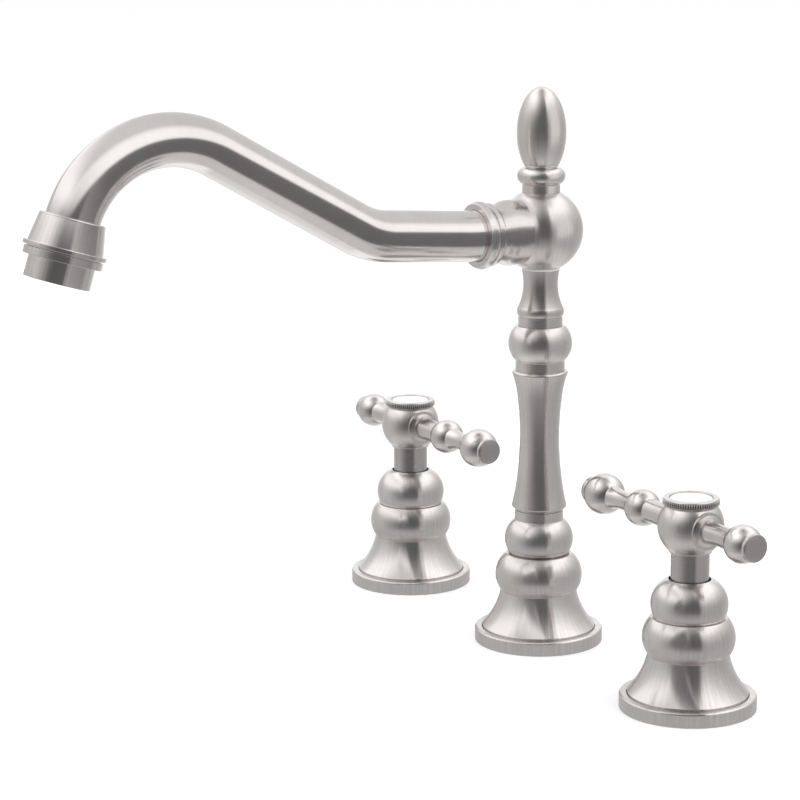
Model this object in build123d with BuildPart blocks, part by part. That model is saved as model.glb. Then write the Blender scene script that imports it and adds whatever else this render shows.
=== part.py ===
from build123d import *
from math import acos, degrees, sqrt
import os

# Three-piece bathroom faucet for a deck with three holes in line.
# A turned column carries a swivelling S-shaped spout, and a valve with a lever handle stands
# on each side. The origin is the centre of the column's foot on the deck, +Z is up, the spout
# points to -Y, the hot valve stands at -X and the cold valve at +X. Sizes are in millimetres.

# Deck layout
valve_spacing = 203.2
deck_thickness = 30.0
running_gap = 0.05
seat_gap = 0.1
body_gap = 0.3
cut_overrun_length = 2.0

# Threaded shanks, the same on the column and on both valves
shank_radius = 13.2
shank_rise_height = 16.0
shank_drop_length = 76.0
inlet_radius = 10.48
inlet_length = 14.0
inlet_bore_radius = 5.0

# Fixings under the deck and the gasket under each foot
gasket_margin_width = 4.2
gasket_thickness = 1.5
rubber_washer_radius = 23.0
rubber_washer_thickness = 2.5
steel_washer_radius = 22.0
steel_washer_thickness = 1.5
nut_flats_width = 36.0
nut_height = 8.0
nut_chamfer_width = 1.2

# Foot ring
ring_border_width = 3.0
ring_height = 5.6
ring_edge_radius = 0.9
ring_rim_width = 1.9
ring_groove_depth = 1.3
ring_web_thickness = 1.4

# Bell that stands in the foot ring, with the lower bulb turned on its top
foot_radius = 22.7
foot_height = 3.3
bell_height = 20.9
bell_middle_radius = 17.8
bell_middle_height = 13.4
waist_radius = 15.3
bell_wall_thickness = 2.0
foot_cavity_height = 5.1
lower_bulb_radius = 17.45
lower_bulb_belly_height = 6.4
spout_bulb_height = 15.2
spout_bulb_top_radius = 13.1
valve_bulb_height = 14.2
valve_bulb_top_radius = 14.3
bell_mouth_radius = 11.9
bell_mouth_depth = 2.6
bell_mouth_chamfer_width = 0.5

# Column above the bell: bulb, band, sleeve, band, bulb, band and neck
column_bore_radius = 5.65
column_bulb_radius = 13.75
column_bulb_height = 14.0
column_bulb_belly_height = 6.1
lower_band_radius = 9.75
lower_band_height = 3.9
sleeve_length = 57.1
sleeve_recess_radius = 9.2
sleeve_recess_height = 0.9
sleeve_foot_radius = 11.0
sleeve_waist_radius = 7.85
sleeve_waist_height = 30.0
sleeve_flare_radius = 9.0
sleeve_flare_length = 17.2
sleeve_lip_radius = 11.15
sleeve_edge_radius = 1.1
upper_band_radius = 9.85
upper_band_height = 4.0
mid_bulb_radius = 12.75
mid_bulb_height = 14.0
mid_bulb_belly_height = 6.8
mid_bulb_top_radius = 9.7
neck_band_radius = 8.85
neck_band_height = 3.5
neck_groove_width = 0.4
neck_ring_radius = 9.4
neck_ring_height = 3.6
neck_foot_radius = 8.9
neck_length = 14.9
neck_waist_radius = 6.9
neck_top_radius = 7.6
neck_waist_height = 9.1

# Riser tube that carries the water and the swivel
riser_radius = 5.5
riser_bore_radius = 3.6
riser_thread_length = 10.0
spigot_radius = 6.2
spigot_length = 10.2
retainer_groove_height = 3.2
retainer_groove_depth = 1.0
retainer_groove_rise = 3.0
o_ring_thickness = 1.2
o_ring_rise_height = 6.4
o_ring_spacing = 2.4
bush_thickness = 0.7

# Ball on the column, its set screw, and the finial on top of it
ball_radius = 16.7
ball_foot_radius = 7.7
ball_face_distance = 10.6
water_passage_radius = 5.4
set_screw_radius = 1.5
set_screw_length = 5.0
set_screw_key_radius = 0.8
set_screw_key_depth = 1.6
finial_neck_radius = 7.5
finial_neck_height = 3.3
finial_bead_radius = 9.55
finial_bead_height = 6.4
finial_plug_radius = 5.0
finial_plug_length = 5.0
finial_seam_radius = 6.2
finial_seam_height = 0.5
egg_radius = 9.75
egg_half_height = 17.9
egg_foot_radius = 6.6
finial_stud_radius = 2.0
finial_stud_length = 17.0

# Spout coupling between the ball and the tube
coupling_face_radius = 12.6
coupling_bulge_radius = 12.9
coupling_bulge_distance = 15.0
coupling_neck_radius = 11.3
coupling_neck_distance = 23.0
coupling_bead_radius = 12.4
coupling_bead_width = 3.2
coupling_ring_radius = 13.25
coupling_ring_edge_radius = 12.3
coupling_ring_width = 4.2
coupling_spigot_radius = 8.0
coupling_spigot_length = 3.6
tube_socket_depth = 10.9

# Spout tube: a gentle rise out of the coupling, a bend, a rising leg and a hook down
tube_radius = 10.0
tube_wall_thickness = 1.2
root_run_length = 9.5
root_bend_radius = 120.0
root_angle = 4.8
root_leg_length = 31.6
rise_bend_radius = 33.0
rise_angle = 29.7
rise_leg_length = 66.2
hook_bend_radius = 39.7
outlet_angle = 72.7
outlet_run_length = 6.0

# Outlet shroud and aerator at the tube's end
shroud_overlap_length = 2.5
shroud_top_radius = 12.1
shroud_edge_radius = 0.7
shroud_cone_length = 11.1
shroud_cone_radius = 13.9
shroud_rim_radius = 15.3
shroud_rim_height = 1.5
shroud_skirt_radius = 14.5
shroud_skirt_height = 3.3
shroud_groove_radius = 13.7
shroud_groove_width = 0.5
aerator_recess_gap = 0.4
aerator_recess_depth = 1.5
aerator_radius = 12.2
aerator_thread_radius = 10.9
aerator_thread_length = 4.6
aerator_body_height = 9.4
aerator_bore_radius = 9.9
aerator_lip_thickness = 0.9
aerator_flat_depth = 0.7
aerator_flat_height = 2.2
insert_height = 6.0
insert_hole_radius = 0.62
insert_hole_spacing = 2.05
insert_hole_rings = 4

# Dome and collar of a valve
dome_radius = 14.5
dome_height = 14.6
dome_foot_radius = 13.3
dome_belly_height = 5.1
dome_wall_thickness = 2.0
dome_hole_radius = 7.9
collar_radius = 7.2
collar_bore_radius = 5.9
collar_exposed_length = 10.4
collar_sink_depth = 5.5
collar_tenon_radius = 6.5
collar_tenon_length = 2.8

# Handle hub, index cap and the bosses that the arms come out of
hub_radius = 12.4
hub_foot_radius = 8.1
hub_foot_height = 0.5
hub_top_radius = 9.4
boss_radius = 7.1
boss_reach_length = 10.9
boss_recess_radius = 5.9
boss_recess_depth = 1.3
cap_ring_radius = 10.6
cap_ring_height = 2.6
cap_ring_chamfer_width = 0.4
cap_ring_bore_radius = 8.1
cap_stub_radius = 6.3
cap_stub_length = 1.8
cap_stub_bore_radius = 5.0
knurl_count = 72
knurl_depth = 0.28
disc_thickness = 1.0
disc_sink_depth = 0.25

# Handle arms: a long one with two balls, and a short one with one ball
arm_root_radius = 4.9
arm_lip_radius = 4.5
arm_socket_depth = 4.0
long_root_waist_radius = 4.5
inner_ball_distance = 30.5
inner_ball_radius = 7.1
long_tip_waist_radius = 3.55
outer_ball_distance = 55.8
outer_ball_radius = 8.0
short_waist_radius = 3.95
short_ball_distance = 31.4
short_ball_radius = 7.2
button_radius = 5.2
button_rim_height = 1.8
button_height = 2.6

# Valve below the deck and the cartridge inside it
side_outlet_radius = 8.33
side_outlet_length = 34.0
side_outlet_depth = 60.0
side_outlet_bore_radius = 4.5
side_bore_wall_thickness = 1.0
side_boss_radius = 9.6
side_boss_length = 18.0
side_channel_radius = 2.2
side_channel_distance = 8.6
cartridge_radius = 9.15
cartridge_thread_radius = 10.4
cartridge_thread_length = 9.0
cartridge_depth = 22.0
cartridge_hex_width = 22.0
cartridge_hex_height = 5.0
cartridge_neck_radius = 5.5
cartridge_neck_height = 26.0
cartridge_wall_thickness = 1.1
window_width = 5.0
window_height = 3.0
seat_seal_radius = 6.2
seat_seal_height = 2.5
ceramic_thickness = 2.8
port_circle_radius = 3.3
port_width = 2.8
port_angle = 34.0
cutout_offset = 2.4
cutout_width = 5.2
stem_radius = 4.0
stem_flange_radius = 7.6
stem_flange_height = 2.5
stem_flat_depth = 0.8
handle_web_thickness = 2.1
handle_screw_radius = 2.0
handle_screw_head_radius = 3.6
handle_screw_head_height = 2.4
handle_screw_length = 13.0
handle_screw_key_radius = 1.4
handle_screw_key_depth = 1.4
screw_pocket_gap = 0.6

# Places worked out from the sizes above
half_spacing = valve_spacing / 2
ring_radius = foot_radius + ring_border_width
gasket_radius = ring_radius - gasket_margin_width
shank_hole_radius = shank_radius + body_gap
shank_bore_radius = shank_radius + seat_gap
bell_seat_z = gasket_thickness + ring_web_thickness
foot_pocket_radius = foot_radius + seat_gap
foot_top_z = bell_seat_z + foot_height
spout_bell_top_z = bell_height + spout_bulb_height
valve_bell_top_z = bell_height + valve_bulb_height
mouth_spigot_radius = bell_mouth_radius - seat_gap
mouth_ledge_radius = bell_mouth_radius - bell_wall_thickness
lower_band_z = spout_bell_top_z + column_bulb_height
sleeve_z = lower_band_z + lower_band_height
upper_band_z = sleeve_z + sleeve_length
mid_bulb_z = upper_band_z + upper_band_height
neck_band_z = mid_bulb_z + mid_bulb_height
neck_ring_z = neck_band_z + neck_band_height + neck_groove_width
neck_z = neck_ring_z + neck_ring_height
bush_z = neck_z + neck_length
spigot_z = bush_z + bush_thickness
ball_bottom_z = spigot_z + running_gap
ball_z = ball_bottom_z + sqrt(ball_radius**2 - ball_foot_radius**2)
finial_z = ball_z + sqrt(ball_radius**2 - finial_neck_radius**2)
finial_bead_z = finial_z + finial_neck_height
finial_seam_z = finial_bead_z + finial_bead_height
egg_z = finial_seam_z + finial_seam_height
bore_radius = spigot_radius + running_gap
groove_z = spigot_z + retainer_groove_rise


# Helpers
def save(piece, name):
    """Label a finished piece and write its STEP file."""
    piece.part.label = name
    export_step(piece.part, f"parts/{name}.step")


def upright(axis_x, side):
    """Upright plane through a vertical axis: local x points against the side, local y is up."""
    return Plane(origin=(axis_x, 0, 0), x_dir=(-side, 0, 0), z_dir=(0, side, 0))


def upright_axis(axis_x):
    """Vertical axis of one of the three posts."""
    return Axis((axis_x, 0, 0), (0, 0, 1))


def level(axis_x, height, side=1):
    """Level plane over a post: local x points against the side, its normal is up."""
    return Plane(origin=(axis_x, 0, height), x_dir=(-side, 0, 0), z_dir=(0, 0, 1))


def sphere_reach(radius, ring):
    """Distance from a sphere's centre to its circle of the given ring radius."""
    return sqrt(radius**2 - ring**2)


os.makedirs("parts", exist_ok=True)

# Fixings: one gasket, rubber washer, steel washer and nut on each of the three shanks
nut_z = -deck_thickness - rubber_washer_thickness - steel_washer_thickness - nut_height
ring_fixings = [
    ("deck_gaskets", gasket_radius, 0, gasket_thickness),
    ("rubber_washers", rubber_washer_radius, -deck_thickness, -rubber_washer_thickness),
    (
        "steel_washers",
        steel_washer_radius,
        -deck_thickness - rubber_washer_thickness,
        -steel_washer_thickness,
    ),
]
for fixing_name, fixing_radius, fixing_z, fixing_thickness in ring_fixings:
    with BuildPart() as fixing:
        with BuildSketch(Plane.XY.offset(fixing_z)):
            with GridLocations(half_spacing, 0, 3, 1):
                Circle(fixing_radius)
                Circle(shank_hole_radius, mode=Mode.SUBTRACT)
        extrude(amount=fixing_thickness)
    save(fixing, fixing_name)

with BuildPart() as mounting_nuts:
    with BuildSketch(Plane.XY.offset(nut_z)):
        with GridLocations(half_spacing, 0, 3, 1):
            RegularPolygon(nut_flats_width / 2, 6, major_radius=False)
            Circle(shank_bore_radius, mode=Mode.SUBTRACT)
    extrude(amount=nut_height)
    nut_edges = mounting_nuts.edges().filter_by(GeomType.LINE).group_by(Axis.Z)
    chamfer(nut_edges[0] + nut_edges[-1], nut_chamfer_width)
save(mounting_nuts, "mounting_nuts")


# Foot ring: gasket pocket below, and a bevelled pocket above that the bell stands in
def base_ring(name, axis_x):
    with BuildPart() as ring:
        with BuildSketch(upright(axis_x, -1)):
            with BuildLine():
                Polyline(
                    (ring_radius - ring_edge_radius, ring_height),
                    (ring_radius - ring_edge_radius - ring_rim_width, ring_height),
                    (foot_pocket_radius, ring_height - ring_groove_depth),
                    (foot_pocket_radius, bell_seat_z),
                    (shank_hole_radius, bell_seat_z),
                    (shank_hole_radius, gasket_thickness),
                    (gasket_radius + seat_gap, gasket_thickness),
                    (gasket_radius + seat_gap, 0),
                    (ring_radius, 0),
                    (ring_radius, ring_height - ring_edge_radius),
                )
                CenterArc(
                    (ring_radius - ring_edge_radius, ring_height - ring_edge_radius),
                    ring_edge_radius,
                    0,
                    90,
                )
            make_face()
        revolve(axis=upright_axis(axis_x))
    save(ring, name)


# Bell with its bulb: screwed on the shank, hollow above the thread, open at the mouth
def bell(name, axis_x, top_z, top_radius):
    belly_z = bell_height + lower_bulb_belly_height
    cavity_z = bell_seat_z + foot_cavity_height
    ledge_z = top_z - bell_mouth_depth
    hollow_z = ledge_z - bell_wall_thickness
    with BuildPart() as shell:
        with BuildSketch(upright(axis_x, -1)):
            with BuildLine():
                Polyline(
                    (foot_radius - bell_wall_thickness, bell_seat_z),
                    (foot_radius, bell_seat_z),
                    (foot_radius, foot_top_z),
                )
                ThreePointArc(
                    (foot_radius, foot_top_z),
                    (bell_middle_radius, bell_middle_height),
                    (waist_radius, bell_height),
                )
                TangentArc(
                    (lower_bulb_radius, belly_z), (waist_radius, bell_height), tangent=(0, -1)
                )
                TangentArc((lower_bulb_radius, belly_z), (top_radius, top_z), tangent=(0, 1))
                Polyline(
                    (top_radius, top_z),
                    (bell_mouth_radius + bell_mouth_chamfer_width, top_z),
                    (bell_mouth_radius, top_z - bell_mouth_chamfer_width),
                    (bell_mouth_radius, ledge_z),
                    (mouth_ledge_radius, ledge_z),
                    (mouth_ledge_radius, hollow_z),
                    (shank_bore_radius, hollow_z),
                )
                ThreePointArc(
                    (shank_bore_radius, hollow_z),
                    (lower_bulb_radius - bell_wall_thickness, (hollow_z + bell_height) / 2),
                    (shank_bore_radius, bell_height),
                )
                Polyline(
                    (shank_bore_radius, bell_height),
                    (shank_bore_radius, cavity_z),
                    (foot_radius - bell_wall_thickness - bell_wall_thickness, cavity_z),
                    (foot_radius - bell_wall_thickness, foot_top_z - seat_gap),
                    (foot_radius - bell_wall_thickness, bell_seat_z),
                )
            make_face()
        revolve(axis=upright_axis(axis_x))
    save(shell, name)


# Column, from the bulb in the bell's mouth up to the neck under the ball
base_ring("spout_base_ring", 0)
bell("spout_bell", 0, spout_bell_top_z, spout_bulb_top_radius)

column_belly_z = spout_bell_top_z + column_bulb_belly_height
with BuildPart() as column_lower_bulb:
    with BuildSketch(upright(0, -1)):
        with BuildLine():
            Polyline(
                (lower_band_radius, lower_band_z),
                (lower_band_radius, sleeve_z),
                (column_bore_radius, sleeve_z),
                (column_bore_radius, spout_bell_top_z - bell_mouth_depth),
                (mouth_spigot_radius, spout_bell_top_z - bell_mouth_depth),
                (mouth_spigot_radius, spout_bell_top_z),
            )
            TangentArc(
                (column_bulb_radius, column_belly_z),
                (mouth_spigot_radius, spout_bell_top_z),
                tangent=(0, -1),
            )
            TangentArc(
                (column_bulb_radius, column_belly_z),
                (lower_band_radius, lower_band_z),
                tangent=(0, 1),
            )
        make_face()
    revolve(axis=Axis.Z)
save(column_lower_bulb, "column_lower_bulb")

sleeve_foot_z = sleeve_z + sleeve_recess_height
sleeve_waist_z = sleeve_z + sleeve_waist_height
with BuildPart() as column_sleeve:
    with BuildSketch(upright(0, -1)):
        with BuildLine():
            waist_curve = ThreePointArc(
                (sleeve_flare_radius, sleeve_waist_z - sleeve_flare_length),
                (sleeve_waist_radius, sleeve_waist_z),
                (sleeve_flare_radius, sleeve_waist_z + sleeve_flare_length),
            )
            TangentArc(
                waist_curve @ 0,
                Vector(sleeve_foot_radius, sleeve_foot_z + sleeve_edge_radius),
                tangent=(waist_curve % 0) * -1,
            )
            TangentArc(
                waist_curve @ 1,
                Vector(sleeve_lip_radius, upper_band_z - sleeve_edge_radius),
                tangent=waist_curve % 1,
            )
            CenterArc(
                (sleeve_foot_radius - sleeve_edge_radius, sleeve_foot_z + sleeve_edge_radius),
                sleeve_edge_radius,
                0,
                -90,
            )
            CenterArc(
                (sleeve_lip_radius - sleeve_edge_radius, upper_band_z - sleeve_edge_radius),
                sleeve_edge_radius,
                0,
                90,
            )
            Polyline(
                (sleeve_foot_radius - sleeve_edge_radius, sleeve_foot_z),
                (sleeve_recess_radius, sleeve_foot_z),
                (sleeve_recess_radius, sleeve_z),
                (column_bore_radius, sleeve_z),
                (column_bore_radius, upper_band_z),
                (sleeve_lip_radius - sleeve_edge_radius, upper_band_z),
            )
        make_face()
    revolve(axis=Axis.Z)
save(column_sleeve, "column_sleeve")

with BuildPart() as column_mid_bulb:
    with BuildSketch(upright(0, -1)):
        with BuildLine():
            Polyline(
                (mid_bulb_top_radius, neck_band_z),
                (column_bore_radius, neck_band_z),
                (column_bore_radius, upper_band_z),
                (upper_band_radius, upper_band_z),
                (upper_band_radius, mid_bulb_z),
            )
            TangentArc(
                (mid_bulb_radius, mid_bulb_z + mid_bulb_belly_height),
                (upper_band_radius, mid_bulb_z),
                tangent=(0, -1),
            )
            TangentArc(
                (mid_bulb_radius, mid_bulb_z + mid_bulb_belly_height),
                (mid_bulb_top_radius, neck_band_z),
                tangent=(0, 1),
            )
        make_face()
    revolve(axis=Axis.Z)
save(column_mid_bulb, "column_mid_bulb")

neck_waist_z = neck_z + neck_waist_height
with BuildPart() as column_neck:
    with BuildSketch(upright(0, -1)):
        with BuildLine():
            Polyline(
                (neck_top_radius, bush_z),
                (column_bore_radius, bush_z),
                (column_bore_radius, neck_band_z),
                (neck_band_radius, neck_band_z),
                (neck_band_radius, neck_ring_z - neck_groove_width),
                (neck_band_radius - neck_groove_width, neck_ring_z - neck_groove_width),
                (neck_band_radius - neck_groove_width, neck_ring_z),
                (neck_foot_radius, neck_ring_z),
            )
            ThreePointArc(
                (neck_foot_radius, neck_ring_z),
                (neck_ring_radius, neck_ring_z + neck_ring_height / 2),
                (neck_foot_radius, neck_z),
            )
            TangentArc(
                (neck_waist_radius, neck_waist_z), (neck_foot_radius, neck_z), tangent=(0, -1)
            )
            TangentArc(
                (neck_waist_radius, neck_waist_z), (neck_top_radius, bush_z), tangent=(0, 1)
            )
        make_face()
    revolve(axis=Axis.Z)
save(column_neck, "column_neck")

# Bush the ball turns on, clamped under the spigot's shoulder
with BuildPart() as swivel_bush:
    with BuildSketch(Plane.XY.offset(bush_z)):
        Circle(neck_top_radius - seat_gap)
        Circle(column_bore_radius, mode=Mode.SUBTRACT)
    extrude(amount=bush_thickness)
save(swivel_bush, "swivel_bush")

# Shank of the column, with the inlet stub for the hose below and the riser's thread above
riser_z = shank_rise_height - riser_thread_length
shank_bottom_z = -shank_drop_length
inlet_z = shank_bottom_z - inlet_length
with BuildPart() as spout_shank:
    with BuildSketch(upright(0, -1)):
        with BuildLine():
            Polyline(
                (inlet_bore_radius, inlet_z),
                (inlet_radius, inlet_z),
                (inlet_radius, shank_bottom_z),
                (shank_radius, shank_bottom_z),
                (shank_radius, shank_rise_height),
                (riser_radius + seat_gap, shank_rise_height),
                (riser_radius + seat_gap, riser_z),
                (inlet_bore_radius, riser_z),
                close=True,
            )
        make_face()
    revolve(axis=Axis.Z)
save(spout_shank, "spout_shank")

# Riser tube: its spigot has a groove for the set screw's tip and two grooves for the O-rings
o_ring_heights = [spigot_z + o_ring_rise_height, spigot_z + o_ring_rise_height + o_ring_spacing]
spigot_top_z = spigot_z + spigot_length
with BuildPart() as riser_tube:
    with BuildSketch(upright(0, -1)):
        with BuildLine():
            Polyline(
                (riser_bore_radius, riser_z),
                (riser_radius, riser_z),
                (riser_radius, spigot_z),
                (spigot_radius, spigot_z),
                (spigot_radius, spigot_top_z),
                (riser_bore_radius, spigot_top_z),
                close=True,
            )
        make_face()
        with BuildLine():
            Polyline(
                (spigot_radius - retainer_groove_depth, groove_z - retainer_groove_height / 2),
                (spigot_radius + seat_gap, groove_z - retainer_groove_height / 2),
                (spigot_radius + seat_gap, groove_z + retainer_groove_height / 2),
                (spigot_radius - retainer_groove_depth, groove_z + retainer_groove_height / 2),
                close=True,
            )
        make_face(mode=Mode.SUBTRACT)
        for ring_z in o_ring_heights:
            with Locations((spigot_radius, ring_z)):
                Rectangle(2 * o_ring_thickness, o_ring_thickness, mode=Mode.SUBTRACT)
    revolve(axis=Axis.Z)
save(riser_tube, "riser_tube")

with BuildPart() as swivel_o_rings:
    with BuildSketch(upright(0, -1)):
        for ring_z in o_ring_heights:
            with Locations((spigot_radius - o_ring_thickness / 2, ring_z)):
                Circle(o_ring_thickness / 2)
    revolve(axis=Axis.Z)
save(swivel_o_rings, "swivel_o_rings")

# Ball: blind bore over the spigot, water passage out to -Y, thread for the finial on top
socket_top_z = spigot_top_z + body_gap
plug_floor_z = finial_z - finial_plug_length - seat_gap
coupling_socket_radius = coupling_spigot_radius + seat_gap
groove_plane = Plane(origin=(0, 0, groove_z), x_dir=(1, 0, 0), z_dir=(0, 1, 0))
with BuildPart() as ball_body:
    with BuildSketch(upright(0, -1)):
        with BuildLine():
            Polyline(
                (finial_neck_radius, finial_z),
                (finial_plug_radius + seat_gap, finial_z),
                (finial_plug_radius + seat_gap, plug_floor_z),
                (0, plug_floor_z),
                (0, ball_z),
                (water_passage_radius, ball_z),
                (water_passage_radius, socket_top_z),
                (bore_radius, socket_top_z),
                (bore_radius, ball_bottom_z),
                (ball_foot_radius, ball_bottom_z),
            )
            ThreePointArc(
                (ball_foot_radius, ball_bottom_z),
                (ball_radius, ball_z),
                (finial_neck_radius, finial_z),
            )
        make_face()
    revolve(axis=Axis.Z)
    face_plane = Plane(origin=(0, -ball_face_distance, ball_z), x_dir=(1, 0, 0), z_dir=(0, -1, 0))
    with BuildSketch(face_plane):
        Circle(ball_radius)
    extrude(amount=ball_radius, mode=Mode.SUBTRACT)
    with BuildSketch(face_plane):
        Circle(coupling_socket_radius)
    extrude(amount=-coupling_spigot_length - seat_gap, mode=Mode.SUBTRACT)
    with BuildSketch(face_plane):
        Circle(water_passage_radius)
    extrude(amount=-ball_face_distance, mode=Mode.SUBTRACT)
    with BuildSketch(groove_plane):
        Circle(set_screw_radius + seat_gap)
    extrude(amount=ball_radius, mode=Mode.SUBTRACT)
save(ball_body, "ball_body")

# Set screw at the ball's back: its tip runs in the spigot's groove and keeps the spout on
set_screw_start = spigot_radius - retainer_groove_depth + body_gap
set_screw_end = set_screw_start + set_screw_length
with BuildPart() as set_screw:
    with BuildSketch(groove_plane.offset(set_screw_start)):
        Circle(set_screw_radius)
    extrude(amount=set_screw_length)
    with BuildSketch(groove_plane.offset(set_screw_end)):
        RegularPolygon(set_screw_key_radius, 6)
    extrude(amount=-set_screw_key_depth, mode=Mode.SUBTRACT)
save(set_screw, "set_screw")

# Finial: neck and bead screwed in the ball, egg held on by a stud
stud_low_z = egg_z - finial_stud_length / 2
stud_high_z = egg_z + finial_stud_length / 2
stud_bore_radius = finial_stud_radius + seat_gap
with BuildPart() as finial_base:
    with BuildSketch(upright(0, -1)):
        with BuildLine():
            Polyline(
                (finial_neck_radius, finial_bead_z),
                (finial_neck_radius, finial_z),
                (finial_plug_radius, finial_z),
                (finial_plug_radius, finial_z - finial_plug_length),
                (0, finial_z - finial_plug_length),
                (0, stud_low_z - seat_gap),
                (stud_bore_radius, stud_low_z - seat_gap),
                (stud_bore_radius, egg_z),
                (finial_seam_radius, egg_z),
                (finial_seam_radius, finial_seam_z),
                (finial_neck_radius, finial_seam_z),
            )
            ThreePointArc(
                (finial_neck_radius, finial_bead_z),
                (finial_bead_radius, (finial_bead_z + finial_seam_z) / 2),
                (finial_neck_radius, finial_seam_z),
            )
        make_face()
    revolve(axis=Axis.Z)
save(finial_base, "finial_base")

egg_centre_z = egg_z + egg_half_height * sqrt(1 - (egg_foot_radius / egg_radius) ** 2)
egg_foot_turn = degrees(acos(egg_foot_radius / egg_radius))
with BuildPart() as finial_egg:
    with BuildSketch(upright(0, -1)):
        with BuildLine():
            shell_arc = EllipticalCenterArc(
                (0, egg_centre_z),
                egg_radius,
                egg_half_height,
                start_angle=-egg_foot_turn,
                arc_size=egg_foot_turn + 90,
            )
            Polyline(
                shell_arc @ 1,
                Vector(0, stud_high_z + seat_gap),
                Vector(stud_bore_radius, stud_high_z + seat_gap),
                Vector(stud_bore_radius, egg_z),
                shell_arc @ 0,
            )
        make_face()
    revolve(axis=Axis.Z)
save(finial_egg, "finial_egg")

with BuildPart() as finial_stud:
    with BuildSketch(Plane.XY.offset(stud_low_z)):
        Circle(finial_stud_radius)
    extrude(amount=finial_stud_length)
save(finial_stud, "finial_stud")

# Coupling: spigot in the ball, waisted body, bead, and the ring round the tube's socket.
# Its profile is drawn in the spout's side view, where local x is the distance towards -Y.
side_view = Plane(origin=(0, 0, ball_z), x_dir=(0, -1, 0), z_dir=(-1, 0, 0))
spout_axis = Axis((0, 0, ball_z), (0, -1, 0))
bead_end = coupling_neck_distance + coupling_bead_width
coupling_end = bead_end + coupling_ring_width
tube_start = coupling_end - tube_socket_depth
tube_socket_radius = tube_radius + seat_gap
flank_distance = (coupling_bulge_distance + coupling_neck_distance) / 2
flank_radius = (coupling_bulge_radius + coupling_neck_radius) / 2
with BuildPart() as spout_coupling:
    with BuildSketch(side_view):
        with BuildLine():
            Polyline(
                (ball_face_distance, coupling_face_radius),
                (ball_face_distance, coupling_spigot_radius),
                (ball_face_distance - coupling_spigot_length, coupling_spigot_radius),
                (ball_face_distance - coupling_spigot_length, water_passage_radius),
                (tube_start, water_passage_radius),
                (tube_start, tube_socket_radius),
                (coupling_end, tube_socket_radius),
                (coupling_end, coupling_ring_edge_radius),
            )
            TangentArc(
                (coupling_bulge_distance, coupling_bulge_radius),
                (ball_face_distance, coupling_face_radius),
                tangent=(-1, 0),
            )
            TangentArc(
                (coupling_bulge_distance, coupling_bulge_radius),
                (flank_distance, flank_radius),
                tangent=(1, 0),
            )
            TangentArc(
                (coupling_neck_distance, coupling_neck_radius),
                (flank_distance, flank_radius),
                tangent=(-1, 0),
            )
            ThreePointArc(
                (coupling_neck_distance, coupling_neck_radius),
                (coupling_neck_distance + coupling_bead_width / 2, coupling_bead_radius),
                (bead_end, coupling_neck_radius),
            )
            Line((bead_end, coupling_neck_radius), (bead_end, coupling_ring_edge_radius))
            ThreePointArc(
                (bead_end, coupling_ring_edge_radius),
                (bead_end + coupling_ring_width / 2, coupling_ring_radius),
                (coupling_end, coupling_ring_edge_radius),
            )
        make_face()
    revolve(axis=spout_axis)
save(spout_coupling, "spout_coupling")

# Spout tube, swept along its centre line in the side view
with BuildPart() as spout_tube:
    with BuildLine(side_view) as tube_path:
        run = Line((tube_start, 0), (tube_start + root_run_length, 0))
        root_bend = JernArc(run @ 1, run % 1, root_bend_radius, root_angle)
        leg = PolarLine(root_bend @ 1, root_leg_length, direction=root_bend % 1)
        rise_bend = JernArc(leg @ 1, leg % 1, rise_bend_radius, rise_angle - root_angle)
        rise = PolarLine(rise_bend @ 1, rise_leg_length, direction=rise_bend % 1)
        hook = JernArc(rise @ 1, rise % 1, hook_bend_radius, -rise_angle - outlet_angle)
        PolarLine(hook @ 1, outlet_run_length, direction=hook % 1)
    with BuildSketch(Plane(origin=run @ 0, x_dir=(1, 0, 0), z_dir=(0, -1, 0))):
        Circle(tube_radius)
        Circle(tube_radius - tube_wall_thickness, mode=Mode.SUBTRACT)
    sweep()
save(spout_tube, "spout_tube")

# Outlet: local y runs down the tube's last leg from its end, local x is the radius
outlet_point = tube_path.line @ 1
outlet_direction = tube_path.line % 1
outlet_axis = Axis(outlet_point, outlet_direction)
outlet_view = Plane(
    origin=outlet_point, x_dir=(1, 0, 0), z_dir=Vector(1, 0, 0).cross(outlet_direction)
)
shroud_start = -outlet_run_length - shroud_overlap_length
cone_end = shroud_start + shroud_cone_length
rim_end = cone_end + shroud_rim_height
shroud_end = rim_end + shroud_skirt_height
aerator_seat = shroud_end - aerator_recess_depth
aerator_recess_radius = aerator_radius + aerator_recess_gap
with BuildPart() as outlet_shroud:
    with BuildSketch(outlet_view):
        with BuildLine():
            Polyline(
                (shroud_top_radius, shroud_start + shroud_edge_radius),
                (shroud_cone_radius, cone_end),
                (shroud_rim_radius, cone_end),
                (shroud_rim_radius, rim_end),
                (shroud_groove_radius, rim_end),
                (shroud_groove_radius, rim_end + shroud_groove_width),
                (shroud_skirt_radius, rim_end + shroud_groove_width),
                (shroud_skirt_radius, shroud_end),
                (aerator_recess_radius, shroud_end),
                (aerator_recess_radius, aerator_seat),
                (aerator_thread_radius + seat_gap, aerator_seat),
                (aerator_thread_radius + seat_gap, 0),
                (tube_socket_radius, 0),
                (tube_socket_radius, shroud_start),
                (shroud_top_radius - shroud_edge_radius, shroud_start),
            )
            CenterArc(
                (shroud_top_radius - shroud_edge_radius, shroud_start + shroud_edge_radius),
                shroud_edge_radius,
                0,
                -90,
            )
        make_face()
    revolve(axis=outlet_axis)
save(outlet_shroud, "outlet_shroud")

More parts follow.
